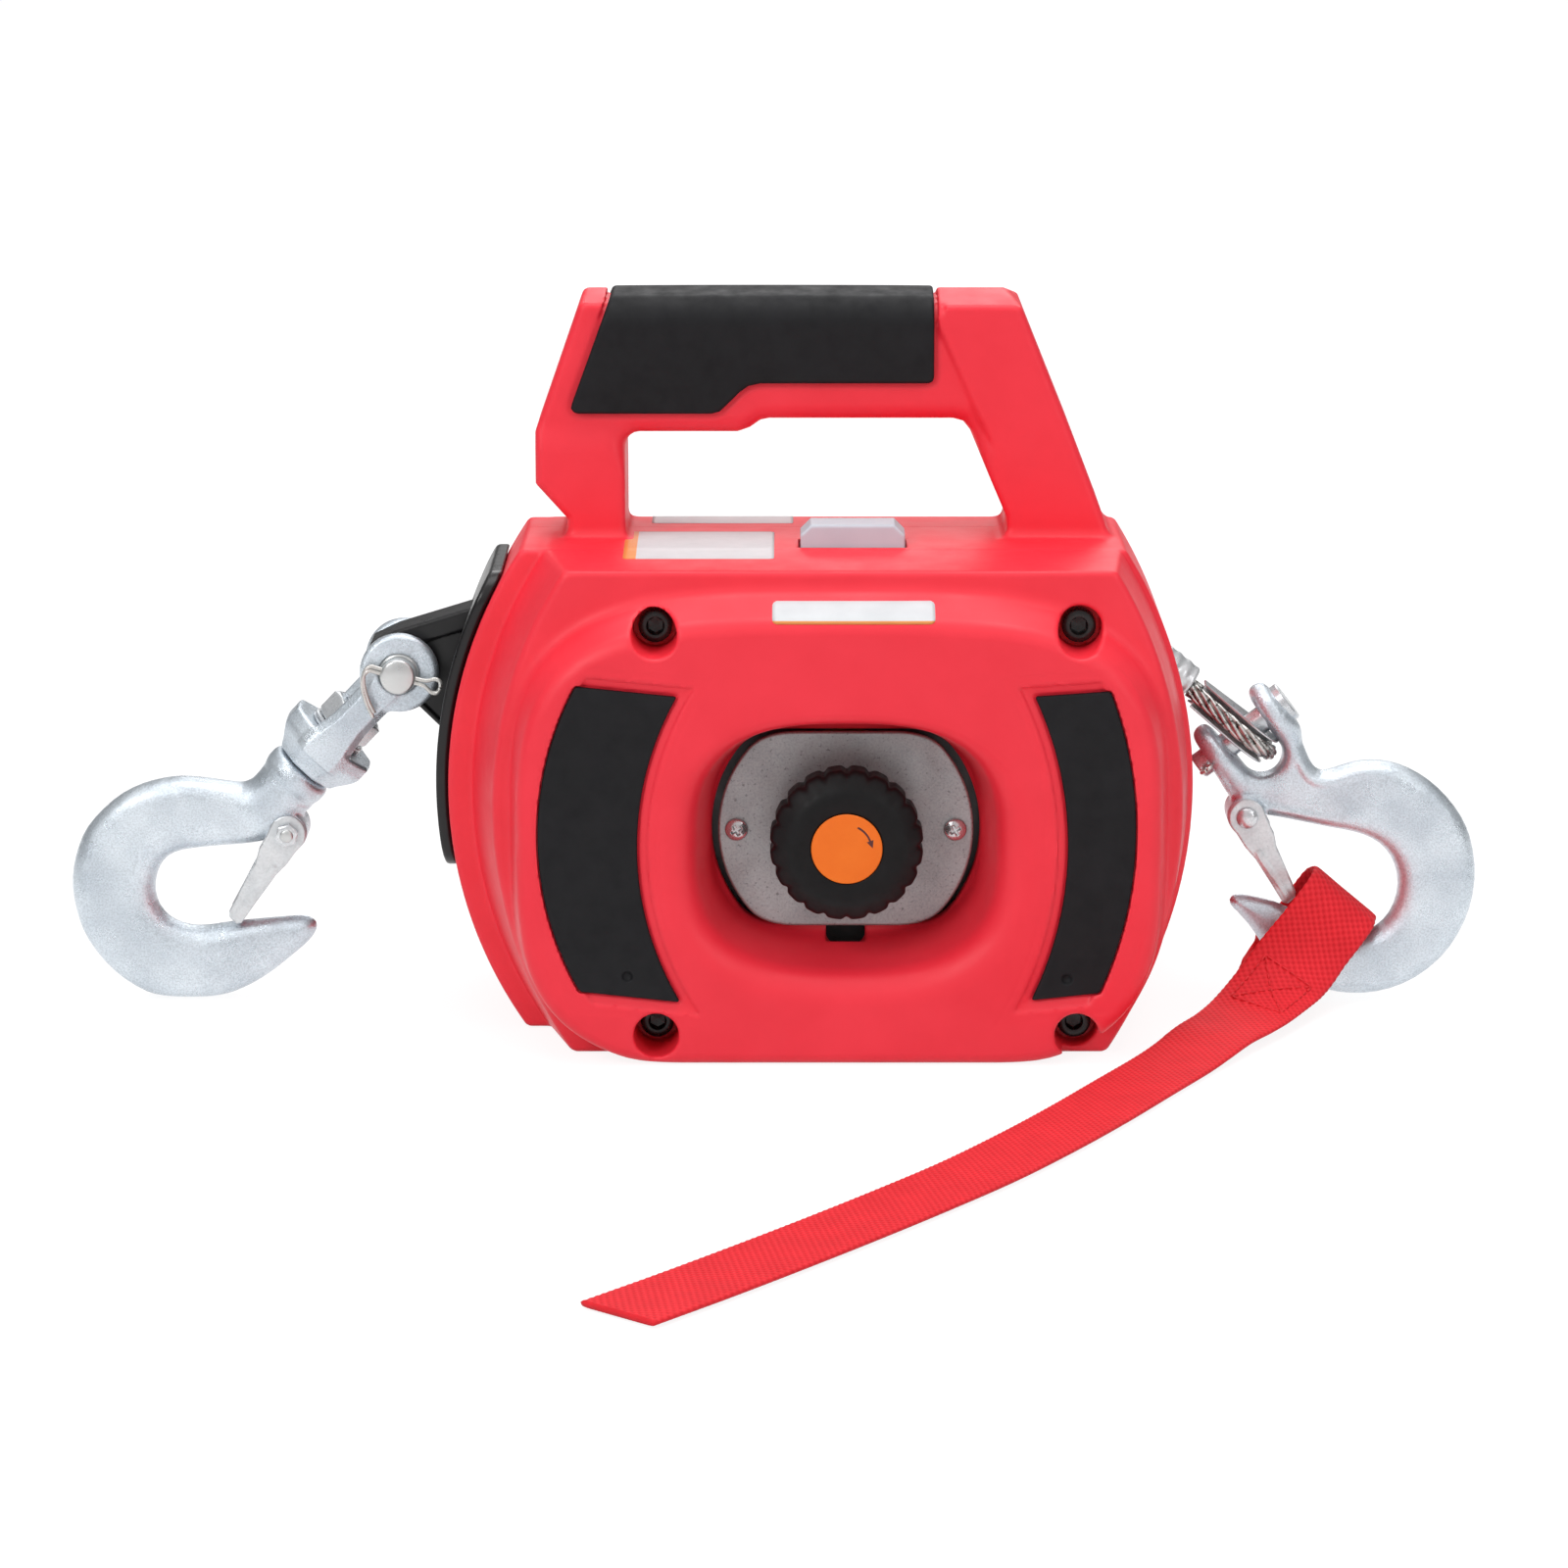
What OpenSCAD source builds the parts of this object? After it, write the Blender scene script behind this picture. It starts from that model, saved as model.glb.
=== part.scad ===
// Portable rope winch driven by a hand drill. A two-part moulded case with a carry handle encloses a
// steel frame, a rope drum, a two-stage gear train and a pull-and-turn clutch. An anchor hook swivels
// in a yoke on one side, and the rope ends in a clevis hook with a pull strap on the other.
// Origin: on the base plane, under the drum axis, on the parting plane of the case.
// +X runs from the anchor hook to the rope hook, +Y to the drive side, +Z up.

/* [Case] */
// Height of the drum axis above the base
axis_z = 63; // [60:1:66]
// Left edge of the inner case step, measured from the drum axis
case_left = 114.8; // [112:0.2:118]
// Right edge of the case, measured from the drum axis
case_right = 100.5; // [99:0.5:104]
// Height of the case at the parting plane
case_top = 142; // [140:1:146]
// Depth from the parting plane to the inner step
step_depth = 34; // [32:1:38]
// Depth from the parting plane to the outer step
shell_depth = 62; // [60:1:66]
// Depth from the parting plane to the face of the bulge
bulge_depth = 75; // [73:1:80]
// Thickness of the moulded wall
wall = 3; // [2.4:0.2:3.4]

/* [Handle] */
// Height of the handle above the case
handle_rise = 70.5; // [66:0.5:78]
// Width of the handle across the fingers
handle_w = 36; // [32:1:40]
// Wall of the hollow handle
handle_wall = 3; // [2.4:0.2:4]
// How deep the grip inlay sits in the handle
grip_t = 1.8; // [1.2:0.2:2.4]

/* [Knob and clutch] */
// Diameter of the clutch knob
knob_d = 43.5; // [38:0.5:48]
// Number of finger scallops around the knob
scallops = 22; // [16:1:28]
// How far the knob pulls out to free the drum
clutch_travel = 6; // [5:0.5:7]
// Diameter of the clutch stem
stem_d = 12; // [10:0.5:13]

/* [Drum and frame] */
// Diameter of the drum barrel
barrel_d = 44; // [40:1:48]
// Diameter of the drum flanges
flange_d = 100; // [92:1:106]
// Clear width between the drum flanges
drum_w = 41; // [38:0.5:42]
// Diameter of the wire rope
rope_d = 5; // [4:0.5:6]
// Radius of the wound rope
wound_r = 40; // [34:1:44]
// Thickness of the frame plates
plate_t = 3; // [2:0.5:4]
// Diameter of the main shaft
shaft_d = 18; // [16:0.5:19]

/* [Gears] */
// Teeth of the drum gear
drum_teeth = 60; // [54:2:62]
// Teeth of both pinions
pinion_teeth = 12; // [12:1:13]
// Teeth of the intermediate gear
mid_teeth = 48; // [40:2:50]
// Module of the drum stage
drum_module = 1.75; // [1.6:0.05:1.75]
// Module of the input stage
input_module = 1.25; // [1.1:0.05:1.3]
// Width of the drive socket across its flats
drive_af = 8; // [6.35:0.05:9]

/* [Anchor side] */
// Diameter of the pin in the anchor lug
anchor_pin_d = 12; // [10:0.5:13]
// Thickness of the anchor lug
lug_t = 15; // [12:0.5:15.4]
// Diameter of the swivel stud
stud_d = 10; // [8:0.5:11]
// Outer radius of both hook bowls
bowl_r = 35; // [32:0.5:37]
// Thickness of the anchor hook
anchor_hook_t = 13; // [10:0.5:14]

/* [Rope side] */
// Diameter of the clevis pin
clevis_pin_d = 8; // [7:0.5:9]
// Gap between the clevis ears
clevis_gap = 12; // [11:0.5:13]
// Thickness of the rope hook
rope_hook_t = 12; // [10:0.5:14]
// Width of the webbing strap
strap_w = 25; // [20:1:30]
// Thickness of the webbing strap
strap_t = 1.8; // [1.4:0.1:2.4]

/* [Hidden] */
$fn = 64;

// Gap between a shaft and its bore.
run_gap = 0.05;
// Gap between pressed-in bushes and their holes.
press_gap = 0.02;
// Gap between pieces that face each other without touching.
face_gap = 0.3;
// Gap under the head of a pin.
pin_gap = 0.1;
// Overshoot of a cutting solid past the face that it cuts.
over = 1;

// ---- Case outline ----
case_mid_z = 71;
case_bow_left = 125;
case_bow_right = 131;
shell_left = case_left - 11.3;
shell_right = case_right - 1.5;
shell_top = case_top - 2.5;
// Space between the top of the bulge and the top of the case.
bulge_drop = 8.5;
// How far the bulge's curve starts below the base, where it is cut off.
bulge_sink = 3.5;
bulge_centre = [-2, (case_top - bulge_drop - bulge_sink) / 2];
bulge_half = [case_right - 13.5, (case_top - bulge_drop + bulge_sink) / 2];
bulge_shoulder = bulge_depth - 5;
bulge_inset = 3.5;
bulge_power = 3.4;
pad_t = 2.3;

// ---- Recess round the knob ----
recess_rim_centre = [0, 65];
recess_rim_half = [57, 42.5];
recess_floor_half = [44, 34.5];
recess_power = 3.2;
recess_depth = 27;
recess_lip = 5;
recess_floor_y = bulge_depth - recess_depth;
recess_lip_y = bulge_depth - recess_lip;
stem_hole_r = 12.6;
slot_size = [12, 3, 5];
slot_z = 30.6;

// ---- Cover plate ----
cover_r = 36.5;
cover_half_h = 28.5;
cover_t = 2;
cover_screw_x = 31.3;
cover_screw_r = 1.55;
cover_hole_gap = 0.25;
cover_head_r = 3.3;
cover_head_h = 1.8;

// ---- Case screws ----
screw_x = [-54, 65.5];
screw_z = [8.5, case_top - 18];
screw_pocket_r = 6.4;
screw_boss_r = 8.5;
screw_head_r = 4.5;
screw_head_h = 5;
screw_key_af = 4;
screw_key_depth = 3;
screw_r = 2.5;
screw_clear = 0.2;
screw_pocket_y = shell_depth - 8;
nut_t = 4;
nut_af_case = 8;

// ---- Frame, front to back ----
frame_y = drum_w / 2 + 4.5;
frame_out_y = frame_y + plate_t;
flange_t = 2.5;
flange_out_y = drum_w / 2 + flange_t;
frame_outline = [
    [-36, 5], [40, 5], [66, 28], [76, 48], [76, 80], [88, 86], [88, 111], [-94, 111], [-94, 84], [-64, 76],
    [-64, 32]
];
spacer_pos = [[-55, 34], [44, 19], [-60, 100], [60, 92]];
spacer_r = 5;
bolt_r = 3;
bolt_head_r = 4.5;
bolt_head_h = 1.6;
shaft_r = shaft_d / 2;
hub_r = shaft_r + 12;
hub_front_y = frame_out_y + 2;
bush_wall = 4;
drum_bush_wall = 3;
drum_bush_start = 8;

// ---- Gear train behind the rear plate ----
pressure = 25;
tooth_gap = 0.14;
// Holes that lighten the gears, as ring radius and hole radius.
drum_gear_holes = [34, 9];
mid_gear_holes = [18, 5];
drum_pitch_r = drum_teeth * drum_module / 2;
mid_pinion_pitch_r = pinion_teeth * drum_module / 2;
mid_gear_pitch_r = mid_teeth * input_module / 2;
input_pitch_r = pinion_teeth * input_module / 2;
mid_distance = drum_pitch_r + mid_pinion_pitch_r;
mid_angle = 0;
mid_x = mid_distance * cos(mid_angle);
mid_z = axis_z + mid_distance * sin(mid_angle);
input_distance = mid_gear_pitch_r + input_pitch_r;
input_angle = 130;
input_x = mid_x + input_distance * cos(input_angle);
input_z = mid_z + input_distance * sin(input_angle);
drum_gear_y = [frame_out_y + 2, frame_out_y + 11];
mid_gear_y = [frame_out_y + 13, frame_out_y + 20];
gear_plate_y = frame_out_y + 22;
gear_plate_out_y = gear_plate_y + plate_t;
mid_shaft_r = 5;
input_core_r = 5.5;
input_shaft_r = 7;
input_socket_r = 8;
input_socket_end_y = bulge_depth - 1;
input_socket_depth = 18;
gear_plate_outline = [
    [-56, 90], [-12, 50], [20, 36], [48, 20], [70, 20], [86, 44], [86, 111], [-56, 111]
];
gear_post_pos = [[54, 27], [79, 105], [-50, 97]];
gear_post_r = 4.5;

// ---- Drive input and bit store ----
bezel_r = 12;
bezel_flange_r = 14.5;
bezel_flange_t = 1.6;
bezel_back_y = bulge_depth - 9;
cap_x = [-13, 17];
cap_depth = [handle_w / 2 + 0.4, step_depth - wall];
cap_top_z = case_top + 6;
cap_chamfer = 3;
bit_at = [(cap_x[0] + cap_x[1]) / 2, -(cap_depth[0] + cap_depth[1]) / 2];
bit_boss_r = 6;
bit_boss_z = case_top - 17;
bit_shank_z = case_top - 25;
bit_tip_af = 6.35;
bit_tip_len = 4;

// ---- Clutch, from the drum hub out to the knob ----
dog_y = hub_front_y + face_gap;
dog_t = 4;
dog_r = hub_r - 1;
dog_pin_r = 3;
dog_pin_gap = 0.1;
dog_pin_ring = shaft_r + 7.5;
dog_pin_len = 4.3;
dog_gap = 0.2;
cup_r = 12;
cup_bore_r = 10.3;
cup_front_y = dog_y + 12.7;
cup_lip = 1;
stem_r = stem_d / 2;
stem_flange_r = 10;
stem_flange_t = 2;
stem_flange_y = cup_front_y - cup_lip - 0.4;
hex_af = 14;
hex_end_y = dog_y + 8.9;
knob_back_y = recess_floor_y + cover_t + 2;
knob_skirt_y = bulge_depth - 14;
knob_front_y = bulge_depth - 0.5;
knob_neck_r = 12;
scallop_r = 2.4;
scallop_ring = knob_d / 2 + 1.3;
stem_head_r = 8;
stem_head_y = knob_front_y - 6;
stem_head_t = 3;
disc_r = 10;
disc_t = 0.6;
disc_gap = 0.1;
spring_gap = 0.5;
spring_wall = 2.3;

// ---- Handle outline, in X and Z ----
handle_top = case_top + handle_rise;
handle_foot = case_top - 6;
window_foot = case_top - 0.5;
handle_outer = [
    [-80, handle_foot], [-80.3, case_top + 5.4], [-89.4, case_top + 15.5], [-89.4, handle_top - 40],
    [-76.5, handle_top - 4.5], [-73, handle_top], [46, handle_top],
    [50.5, handle_top - 4.5], [64.5, handle_top - 38.5], [73.8, case_top + 8], [79, handle_foot]
];
handle_window = [
    [-63.5, window_foot], [-63.5, handle_top - 44.5], [-60, handle_top - 40.5], [-33, handle_top - 40.5],
    [-26, handle_top - 36.7], [31, handle_top - 36.7], [35.5, handle_top - 39],
    [46.5, case_top + 6], [45, window_foot]
];
// Front face of the grip, in X and Z.
grip_outline = [
    [-71, handle_top - 1.5], [-83.5, handle_top - 32.5], [-82, handle_top - 34.7], [-42, handle_top - 34.7],
    [-38, handle_top - 33], [-33, handle_top - 28], [-28, handle_top - 25.9], [25.5, handle_top - 25.9],
    [27, handle_top - 24.5], [27, handle_top - 1.5]
];
grip_gap = 0.4;

// ---- Anchor side ----
pin_x = -130;
pin_z = 101;
load_angle = 226.4;
anchor_pin_r = anchor_pin_d / 2 - run_gap;
// Head of the anchor pin: how far it stands out round the pin, and its thickness.
anchor_head = [2.5, 3];
ear_r = 11.5;
ear_in = 9.2;
ear_t = 5.3;
ear_out = ear_in + ear_t;
yoke_arm = [[0, -9.5], [30, -11.5], [34, -11.5], [34, 11.5], [30, 11.5], [0, 9.5]];
boss_s = [29, 42];
boss_cone = boss_s[0] + 5;
stud_r = stud_d / 2 - run_gap;
washer_t = 1;
washer_r = 8.9;
washer_gap = 0.1;
collar_s = [boss_s[1] + face_gap, 51];
collar_r = 10;
nut_af = 15.5;
nut_s = [18.6, 26.6];
stud_end = 17;
band_t = 3.5;
band_half_w = 30;
band_z = [46, 133];
band_gap = 0.3;
lug_root = [-92, -76];
lug_z = [84, 111];
lug_tip_r = 12.4;
lug_blade = [[-88, 120.5], [-106, 120.5], [-130, 113.4], [-125, 89.8], [-112, 77], [-88, 77]];
lug_bolt_pos = [[-84, 90], [-84, 105]];
lug_bolt_r = 4;
anchor_bowl = [92.3, -1.5];
anchor_eye = [92, 0];
anchor_eye_r = 13;
anchor_tip = [77.8, 32.6];
tip_r = 3.6;
anchor_latch_at = [59.3, 9.4];
latch_t = 1.4;
latch_bolt_r = 2;
latch_cheek_r = 5.5;
latch_gap = 0.3;
latch_out = latch_gap + latch_t;
latch_head_r = 3.4;
rivet_head_r = 3.2;
latch_nut_af = 6;
cotter_r = 1.1;
latch_boss_r = 5.6;
latch_pocket = 3.6;
spring_r = 3.8;

// ---- Rope side ----
clevis_x = 118.3;
clevis_z = 80.7;
hang_angle = -52.1;
clevis_pin_r = clevis_pin_d / 2 - run_gap;
// Head of the clevis pin: how far it stands out round the pin, and its thickness.
clevis_head = [2.2, 2.6];
clevis_half = clevis_gap / 2;
clevis_ear_t = 7;
clevis_out = clevis_half + clevis_ear_t;
clevis_ear_r = 10;
clevis_throat = 14.5;
rope_bowl = [56, 0];
rope_eye_at = [56.5, -3.5];
rope_eye_r = 15.5;
rope_tip = [40.2, -31.6];
rope_latch_at = [19.4, -14.6];
thimble_angle = -39.2;
thimble_r = clevis_pin_d / 2 + 1.4;
thimble_wall = 1;
groove_r = thimble_r + thimble_wall;
groove_half_w = rope_d / 2 + 0.1;
eye_mid_r = groove_r + rope_d / 2 + 0.1;
thimble_flange_r = groove_r + 2.2;
thimble_half_w = groove_half_w + 0.8;
thimble_taper = 17;
thimble_leg = 17;
eye_leg = 20.5;
ferrule_clear = 0.75;
run_clear = 1.9;
run_touch = 0.1;
ferrule_start = eye_mid_r * sin(thimble_taper) + eye_leg * cos(thimble_taper);
ferrule_len = 11.5;
ferrule_r = rope_d + 1.3;
fairlead_x = [84.6, 87.6];
fairlead_z = [90, 110.7];
fairlead_slot = [34, 11];
fairlead_slot_z = 103;
wall_slot_z = [86, 113];
wall_slot_half_y = 11;
run_end = [clevis_x - (ferrule_start + ferrule_len) * cos(thimble_angle),
    clevis_z - (ferrule_start + ferrule_len) * sin(thimble_angle)];
run_start = [2, axis_z + wound_r + rope_d / 2 + run_touch];
run_slope = atan2(run_end[1] - run_start[1], run_end[0] - run_start[0]);
run_len = norm(run_end - run_start) - run_clear;

// ---- Strap ----
// Centreline from the stitched end under the strap, up behind the hook, over its bar and along the floor.
// The fourth value is how far the width turns from level, 0, to the direction of the fold, 1.
strap_route = [
    [103, -55, 1.2, 0], [108, -45, 1.2, 0], [113.5, -35, 1.2, 0], [119.5, -24, 1.2, 0], [124, -13, 1.2, 0],
    [127, -3, 1.3, 0], [129.6, 5.4, 2.1, 0.1], [132, 11.4, 5.2, 0.42], [135.2, 11.8, 10.4, 0.85],
    [139, 10, 16.4, 1], [143.2, 8.8, 23, 1], [147.2, 6.1, 29.3, 1], [148.8, 0, 31.8, 1],
    [147.6, -4.8, 30.4, 1], [144.5, -8.3, 27, 1], [139, -11, 20.5, 1], [133, -15.5, 14, 0.75],
    [126, -24, 8.6, 0.4],
    [119, -35, 5.4, 0.2], [113, -45, 4.2, 0.1],
    [106, -56, 3.6, 0.05], [99, -68, 2.2, 0], [92, -80, 1.3, 0], [80, -102, 1.2, 0], [66, -128, 1.2, 0],
    [51, -154, 1.2, 0], [34, -181, 1.2, 0], [16, -206, 1.2, 0], [-3, -231, 1.2, 0], [-22, -255, 1.2, 0],
    [-40, -277, 1.2, 0], [-58, -298, 1.2, 0]
];
strap_fold_side = [0.755, 0, -0.655];
strap_bevel = 0.4;

// ================= Helpers =================

// Points of an arc, angles in degrees.
function arc(c, r, a0, a1, n) =
    [for (i = [0:n]) let (a = a0 + (a1 - a0) * i / n) [c[0] + r * cos(a), c[1] + r * sin(a)]];

// Points up or down one bowed side of the case.
function bowed_side(x, bow, sign, z0, z1, n) =
    [for (i = [0:n]) let (z = z0 + (z1 - z0) * i / n)
        [x + sign * (bow - sqrt(bow * bow - pow(z - case_mid_z, 2))), z]];

// Case outline in X and Z between two bowed sides.
function case_outline(left, right, z0, z1) = concat(
    bowed_side(right, case_bow_right, -1, z0, z1, 12),
    bowed_side(-left, case_bow_left, 1, z1, z0, 12));

// Rounded rectangle given by a power curve.
function squircle(c, half, power, n) =
    [for (i = [0:n - 1]) let (a = 360 * (i + 0.5) / n)
        [c[0] + half[0] * sign(cos(a)) * pow(abs(cos(a)), 2 / power),
         c[1] + half[1] * sign(sin(a)) * pow(abs(sin(a)), 2 / power)]];

// Involute of a pressure angle, in degrees.
function involute(a) = tan(a) * 180 / PI - a;

// Half of a tooth's angle at radius r.
function tooth_half(teeth, pitch_r, r) =
    90 / teeth - tooth_gap / pitch_r * 180 / PI + involute(pressure)
    - involute(acos(min(1, pitch_r * cos(pressure) / r)));

// Outline of a spur gear with a tooth centred at angle phase.
function gear_outline(teeth, modul, phase) =
    let (pitch_r = teeth * modul / 2, root_r = pitch_r - 1.25 * modul, crest_r = pitch_r + modul,
         foot_r = max(pitch_r * cos(pressure), root_r), flank_r = (foot_r + crest_r) / 2,
         radii = foot_r > root_r ? [root_r, foot_r, flank_r, crest_r] : [root_r, flank_r, crest_r])
    [for (i = [0:teeth - 1], s = [-1, 1], j = [0:len(radii) - 1])
        let (r = radii[s < 0 ? j : len(radii) - 1 - j],
             a = phase + 360 * i / teeth + s * tooth_half(teeth, pitch_r, max(r, foot_r)))
        [r * cos(a), r * sin(a)]];

// Extrudes an X-Z outline along Y.
module along_y(y0, y1) {
    translate([0, y1, 0]) rotate([90, 0, 0]) linear_extrude(y1 - y0) children();
}

// Round bar along Y through a point in X and Z.
module rod_y(p, r, y0, y1) {
    translate([p[0], y0, p[1]]) rotate([-90, 0, 0]) cylinder(r = r, h = y1 - y0);
}

// Tube along Y.
module tube_y(p, r, bore, y0, y1) {
    difference() {
        rod_y(p, r, y0, y1);
        rod_y(p, bore, y0 - over, y1 + over);
    }
}

// Hexagonal bar along Y, given across its flats.
module hex_y(p, af, y0, y1) {
    translate([p[0], y0, p[1]]) rotate([-90, 0, 0]) cylinder(r = af / 2 / cos(30), h = y1 - y0, $fn = 6);
}

// Mirrors what is built for the drive side onto the front.
module front() {
    mirror([0, 1, 0]) children();
}

// Frame of the anchor load line: X along the load, Z across it, from the lug pin.
module at_anchor() {
    translate([pin_x, 0, pin_z]) rotate([0, -load_angle, 0]) children();
}

// Frame of the rope hook: X along the load, Z along the clevis pin, from the pin's middle.
module at_clevis() {
    translate([clevis_x, 0, clevis_z]) rotate([0, -hang_angle, 0]) children();
}

// Frame of the rope's eye: X away from the case, Z across the thimble.
module at_eye() {
    translate([clevis_x, 0, clevis_z]) rotate([0, -thimble_angle, 0]) children();
}

// Bar along the local X axis.
module rod_x(r, x0, x1) {
    translate([x0, 0, 0]) rotate([0, 90, 0]) cylinder(r = r, h = x1 - x0);
}

// ================= Case =================

// Half of the case for Y above 0, drawn in on every side by inset.
module case_half(inset) {
    along_y(0, step_depth - inset)
        polygon(case_outline(case_left - inset, case_right - inset, inset, case_top - inset));
    along_y(0, shell_depth - inset)
        polygon(case_outline(shell_left - inset, shell_right - inset, inset, shell_top - inset));
    along_y(0, bulge_shoulder - inset) bulge_face(inset, inset);
    along_y(0, bulge_depth - inset) bulge_face(inset + bulge_inset, inset);
}

// Outline of the bulge, cut flat at height bottom.
module bulge_face(inset, bottom) {
    intersection() {
        polygon(squircle(bulge_centre, bulge_half - [inset, inset], bulge_power, 56));
        translate([-case_left, bottom]) square([2 * case_left, case_top]);
    }
}

// Handle frame between its outer edge and its window, for Y above 0.
module handle_half() {
    along_y(0, handle_w / 2) difference() {
        polygon(handle_outer);
        polygon(handle_window);
    }
}

// Room inside the handle, closed towards the case.
module handle_hollow() {
    along_y(-over, handle_w / 2 - handle_wall - grip_t) difference() {
        offset_frame(handle_wall);
        translate([-100, 0]) square([200, case_top + handle_wall]);
    }
}

// Handle frame drawn in by a wall.
module offset_frame(inset) {
    difference() {
        offset(delta = -inset) polygon(handle_outer);
        offset(delta = inset) polygon(handle_window);
    }
}

// Pad outline: side is -1 on the left and 1 on the right. Left and right pads differ in width.
module pad_outline(side, grow) {
    inner_c = side < 0 ? [30.5, axis_z] : [-40.7, axis_z];
    inner_r = side < 0 ? 89.6 : 103;
    outer_c = side < 0 ? [4.6, 66] : [-33, 67];
    outer_r = side < 0 ? 90 : 114.5;
    top = [110.5, 107.6];
    difference() {
        intersection() {
            translate(outer_c) circle(r = outer_r + grow, $fn = 160);
            translate([side < 0 ? -100 : 40, 0]) polygon([
                [0, side < 0 ? 24 - grow : 17.5 - grow], [60, side < 0 ? 17.5 - grow : 24 - grow],
                [60, side < 0 ? top[1] + grow : top[0] + grow], [0, side < 0 ? top[0] + grow : top[1] + grow]
            ]);
        }
        translate(inner_c) circle(r = inner_r - grow, $fn = 160);
    }
}

// One case half for Y above 0, without what only one side has.
module shell_half() {
    difference() {
        union() {
            difference() {
                case_half(0);
                translate([0, -over, 0]) cavity();
            }
            screw_bosses();
            difference() {
                handle_half();
                handle_hollow();
            }
        }
        for (x = screw_x, z = screw_z) {
            rod_y([x, z], screw_pocket_r, screw_pocket_y, bulge_depth + over);
            rod_y([x, z], screw_r + screw_clear, -over, screw_pocket_y + over);
        }
        wall_cuts();
    }
}

module pad_pockets() {
    for (side = [-1, 1]) along_y(bulge_depth - pad_t, bulge_depth + over) pad_outline(side, face_gap);
}

// Room inside one half.
module cavity() {
    case_half(wall);
}

// Columns that the case screws pull together.
module screw_bosses() {
    for (x = screw_x, z = screw_z) intersection() {
        rod_y([x, z], screw_boss_r, 0, bulge_depth);
        case_half(0);
    }
}

// Openings that both halves share: the lug's slot on the left, the rope's on the right.
module wall_cuts() {
    translate([-case_left - 10, -over, lug_blade[5][1] - face_gap])
        cube([40, lug_t / 2 + face_gap + over, lug_blade[0][1] - lug_blade[5][1] + 2 * face_gap]);
    translate([case_right - 18, -over, wall_slot_z[0]])
        cube([30, wall_slot_half_y + over, wall_slot_z[1] - wall_slot_z[0]]);
}

// Tub of the recess, for Y above 0: solid to be hollowed.
module recess_tub() {
    intersection() {
        union() {
            along_y(recess_lip_y - wall, bulge_depth)
                polygon(squircle(recess_rim_centre, recess_rim_half + [wall, wall],
                                 recess_power, 48));
            along_y(recess_floor_y - wall, recess_lip_y)
                polygon(squircle([0, axis_z], recess_floor_half + [wall, wall], recess_power, 48));
        }
        case_half(0);
    }
}

module recess_hollow() {
    along_y(recess_lip_y, bulge_depth + over)
        polygon(squircle(recess_rim_centre, recess_rim_half, recess_power, 48));
    along_y(recess_floor_y, bulge_depth)
        polygon(squircle([0, axis_z], recess_floor_half, recess_power, 48));
}

module front_housing() {
    color("#e8404d") front() difference() {
        union() {
            shell_half();
            recess_tub();
        }
        recess_hollow();
        pad_pockets();
        rod_y([0, axis_z], stem_hole_r, recess_floor_y - wall - over, bulge_depth);
        for (x = [-cover_screw_x, cover_screw_x])
            rod_y([x, axis_z], cover_screw_r + run_gap, recess_floor_y - wall - over, bulge_depth);
        translate([-slot_size[0] / 2, recess_floor_y - wall - over, slot_z - slot_size[1] / 2])
            cube([slot_size[0], wall + 2 * over, slot_size[1]]);
        grip_pocket();
        bit_cap_cut();
    }
}

module rear_housing() {
    color("#e23b48") difference() {
        shell_half();
        pad_pockets();
        rod_y([input_x, input_z], bezel_r + run_gap, bezel_back_y, bulge_depth + over);
        grip_pocket();
    }
}

// Pocket that the grip inlay fills, for Y above 0.
module grip_pocket() {
    along_y(handle_w / 2 - grip_t, handle_w / 2 + over) offset(delta = grip_gap) polygon(grip_outline);
}

module grip_inlay() {
    along_y(handle_w / 2 - grip_t + 0.02, handle_w / 2) polygon(grip_outline);
}

module handle_grip_front() {
    color("#242326") front() grip_inlay();
}

module handle_grip_rear() {
    color("#242326") grip_inlay();
}

module pad(side) {
    along_y(bulge_depth - pad_t + press_gap, bulge_depth) pad_outline(side, 0);
}

module front_pad_left() {
    color("#29272a") front() pad(-1);
}

module front_pad_right() {
    color("#29272a") front() pad(1);
}

module rear_pad_left() {
    color("#29272a") pad(-1);
}

module rear_pad_right() {
    color("#29272a") pad(1);
}

module cover_plate() {
    color("#8f8f92") front() difference() {
        along_y(recess_floor_y + 0.02, recess_floor_y + cover_t) intersection() {
            translate([0, axis_z]) circle(r = cover_r, $fn = 96);
            translate([-cover_r, axis_z - cover_half_h]) square([2 * cover_r, 2 * cover_half_h]);
        }
        rod_y([0, axis_z], stem_hole_r, recess_floor_y - over, bulge_depth);
        for (x = [-cover_screw_x, cover_screw_x])
            rod_y([x, axis_z], cover_screw_r + cover_hole_gap, recess_floor_y - over, bulge_depth);
    }
}

module cover_plate_screws() {
    color("#b9b9bd") front() for (x = [-cover_screw_x, cover_screw_x]) {
        rod_y([x, axis_z], cover_screw_r, recess_floor_y - wall, recess_floor_y + cover_t + cover_head_h / 2);
        rod_y([x, axis_z], cover_head_r, recess_floor_y + cover_t, recess_floor_y + cover_t + cover_head_h);
    }
}

module case_screws() {
    color("#1c1c1e") front() for (x = screw_x, z = screw_z) difference() {
        union() {
            rod_y([x, z], screw_head_r, screw_pocket_y, screw_pocket_y + screw_head_h);
            rod_y([x, z], screw_r, -screw_pocket_y - nut_t - 1, screw_pocket_y + over / 2);
        }
        hex_y([x, z], screw_key_af, screw_pocket_y + screw_head_h - screw_key_depth,
            screw_pocket_y + screw_head_h + over);
    }
}

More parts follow.
